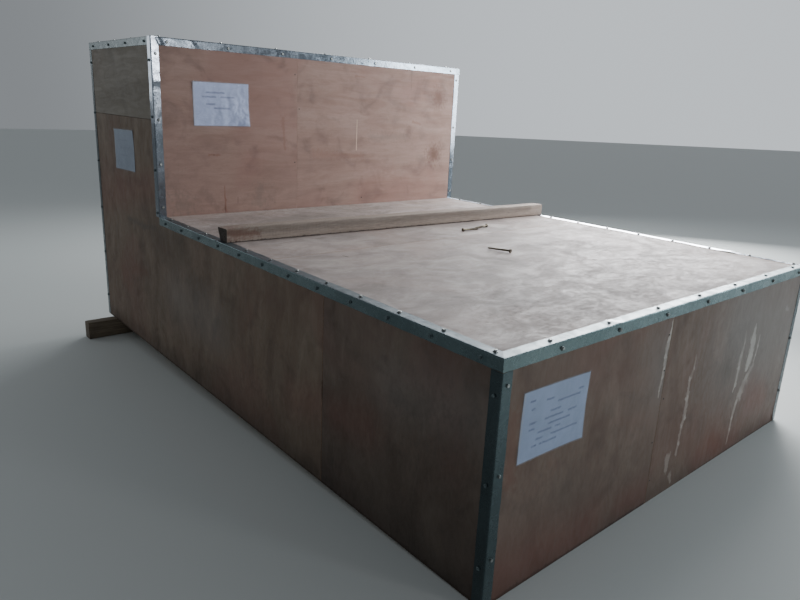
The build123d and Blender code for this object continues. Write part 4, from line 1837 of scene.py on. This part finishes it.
def edge_angles() -> list[EdgeAngle]:
    """Sizes up all the folded angles, with the buckles that show.

    Returns:
        The angles, each with a seed of its own.
    """
    both, near_only = (True, True), (True, False)
    # Paler zinc on legs that face the lamps, darker zinc on legs that face away: painted light and shade.
    pale_pair = (PALE_ZINC, PALE_ZINC)
    shade_pair = (SHADE_ZINC, DARK_ZINC)
    top_dents = (
        Dent(40.0, -24.0, 20.0, 3.2, 0.5),
        Dent(212.0, -30.0, 16.0, 2.6, 0.8),
        Dent(236.0, 20.0, 22.0, 1.6),
        Dent(1700.0, 26.0, 26.0, 2.4),
    )
    near_dents = (Dent(505.0, 30.0, 30.0, 2.6, 0.6),)
    left_dents = (Dent(1640.0, 25.0, 30.0, 2.0),)
    right_dents = (Dent(330.0, 30.0, 50.0, 3.5),)
    upper_dents = (Dent(1400.0, 28.0, 24.0, 1.4),)
    angles = [
        EdgeAngle("near_top_angle", Axis.X, (-1, 1), (SATIN_ZINC, END_ZINC), both, dents=near_dents),
        EdgeAngle("step_top_angle", Axis.X, (-1, 1), (PALE_ZINC, MID_ZINC), both, (0.0, 6.0), top_dents),
        EdgeAngle("back_top_angle", Axis.X, (1, 1), pale_pair, both),
        EdgeAngle("low_left_angle", Axis.Y, (-1, 1), (MATT_ZINC, SHADE_ZINC), near_only, dents=left_dents),
        EdgeAngle("low_right_angle", Axis.Y, (1, 1), pale_pair, near_only, dents=right_dents),
        EdgeAngle("tall_left_angle", Axis.Y, (-1, 1), (PALE_ZINC, DARK_ZINC), both),
        EdgeAngle("tall_right_angle", Axis.Y, (1, 1), pale_pair, both),
        EdgeAngle("near_left_angle", Axis.Z, (-1, -1), shade_pair, proud=1.5),
        EdgeAngle("near_right_angle", Axis.Z, (1, -1), (DARK_ZINC, PALE_ZINC), flare=(7.0, 0.0)),
        EdgeAngle("step_left_lower_angle", Axis.Z, (-1, -1), (MID_ZINC, MID_ZINC)),
        EdgeAngle("step_left_upper_angle", Axis.Z, (-1, -1), pale_pair, dents=upper_dents),
        EdgeAngle("step_right_angle", Axis.Z, (1, -1), (MID_ZINC, PALE_ZINC)),
        EdgeAngle("back_left_angle", Axis.Z, (-1, 1), shade_pair),
        EdgeAngle("back_right_angle", Axis.Z, (1, 1), pale_pair),
    ]
    for index, angle in enumerate(angles):
        angle.seed = 1.0 + index
    return angles


def papers(crate: CrateFrame) -> list[PaperSheet]:
    """Finds the three papers where the CAD sheets lie.

    Args:
        crate: The crate's directions and nodes.

    Returns:
        The papers, the near one first.
    """
    places = [span_of(island) for island in crate.islands("paper_sheets")]
    near, step, side = sorted(places, key=lambda place: place.middle.y)
    if side.high.x > step.low.x:
        step, side = side, step
    return [
        PaperSheet("near", Face.END, near, -1.1, (1, 4, 2, 1), 1.6, 3.1, NEAR_PAPER),
        PaperSheet("step", Face.END, step, 0.4, (1, 15, 4, 3), 5.5, 5.7, STEP_PAPER),
        PaperSheet("side", Face.SIDE, side, -1.2, (2, 2, 1, 3), 2.2, 8.3, SHADED_SIDE_PAPER, mirrored=True),
    ]


def dress_framing(crate: CrateFrame) -> None:
    """Gives the timbers inside the crate their wood.

    Args:
        crate: The crate's nodes.
    """
    grains = {
        Axis.X: ("top_rail", "beam", "joist"),
        Axis.Y: ("runner", "low_rail", "tall_rail"),
        Axis.Z: ("post", "stud"),
    }
    for grain, words in grains.items():
        for word in words:
            timber = FRAME_TIMBER.material(word + "_wood", crate, grain, 30.0 + len(word))
            for node in crate.nodes:
                if word in node:
                    set_material(crate.nodes[node], timber)


def main(nodes: dict[str, Piece]) -> None:
    """Builds the crate's pieces in order.

    Args:
        nodes: The frame's CAD objects by node name.
    """
    logging.basicConfig(level=logging.INFO, format="%(message)s")
    crate = CrateFrame(nodes)
    studio = Studio(LAMPS)
    studio.place_camera(crate)
    studio.lay_floor()
    studio.light()

    PlywoodBox(sheet_looks()).dress(crate)
    dress_framing(crate)
    screws = StripScrews()
    seats = screws.locate(crate)
    for angle in edge_angles():
        angle.build(crate, seats)
    screws.build(crate, HEAD_FINISHES)
    for index, paper in enumerate(papers(crate)):
        paper.build(crate, ClearFilm(), ("paper_sheets",) if index == 0 else ())

    batten = BATTEN_TIMBER.material("batten_wood", crate, Axis.X, 21.0, BATTEN_MARKS)
    # Sawn ends of the batten: dark end grain and painted shade.
    shaded_end_grain = SHADED_END_GRAIN.material("shaded_end_grain", crate, Axis.X, 23.0)
    prop = PROP_TIMBER.material("prop_wood", crate, Axis.X, 22.0)
    lid_up = tuple(crate.heading((0, 0, 1)))
    skew = {"end_skew": 10.0, "end_drop": 4.0}
    bar = SawnBar("loose_batten_wood", "loose_batten", "batten_timber", 2.0, lid_up, **skew)
    bar.build(crate, batten, shaded_end_grain)
    bar = SawnBar("rear_prop_wood", "rear_prop", "prop_timber", 5.0, (0.0, 0.0, 1.0))
    bar.build(crate, prop, prop)
    SeamFiller("step_face_left_sheet", "step_face_right_sheet").build(crate, FILLER)
    CoachScrews().build(crate, COACH_PLATING)
    PanelNails(NAIL_SPOTS).build(crate, NAIL_STEEL)


if __name__ == "__main__":
    main(frame["nodes"])
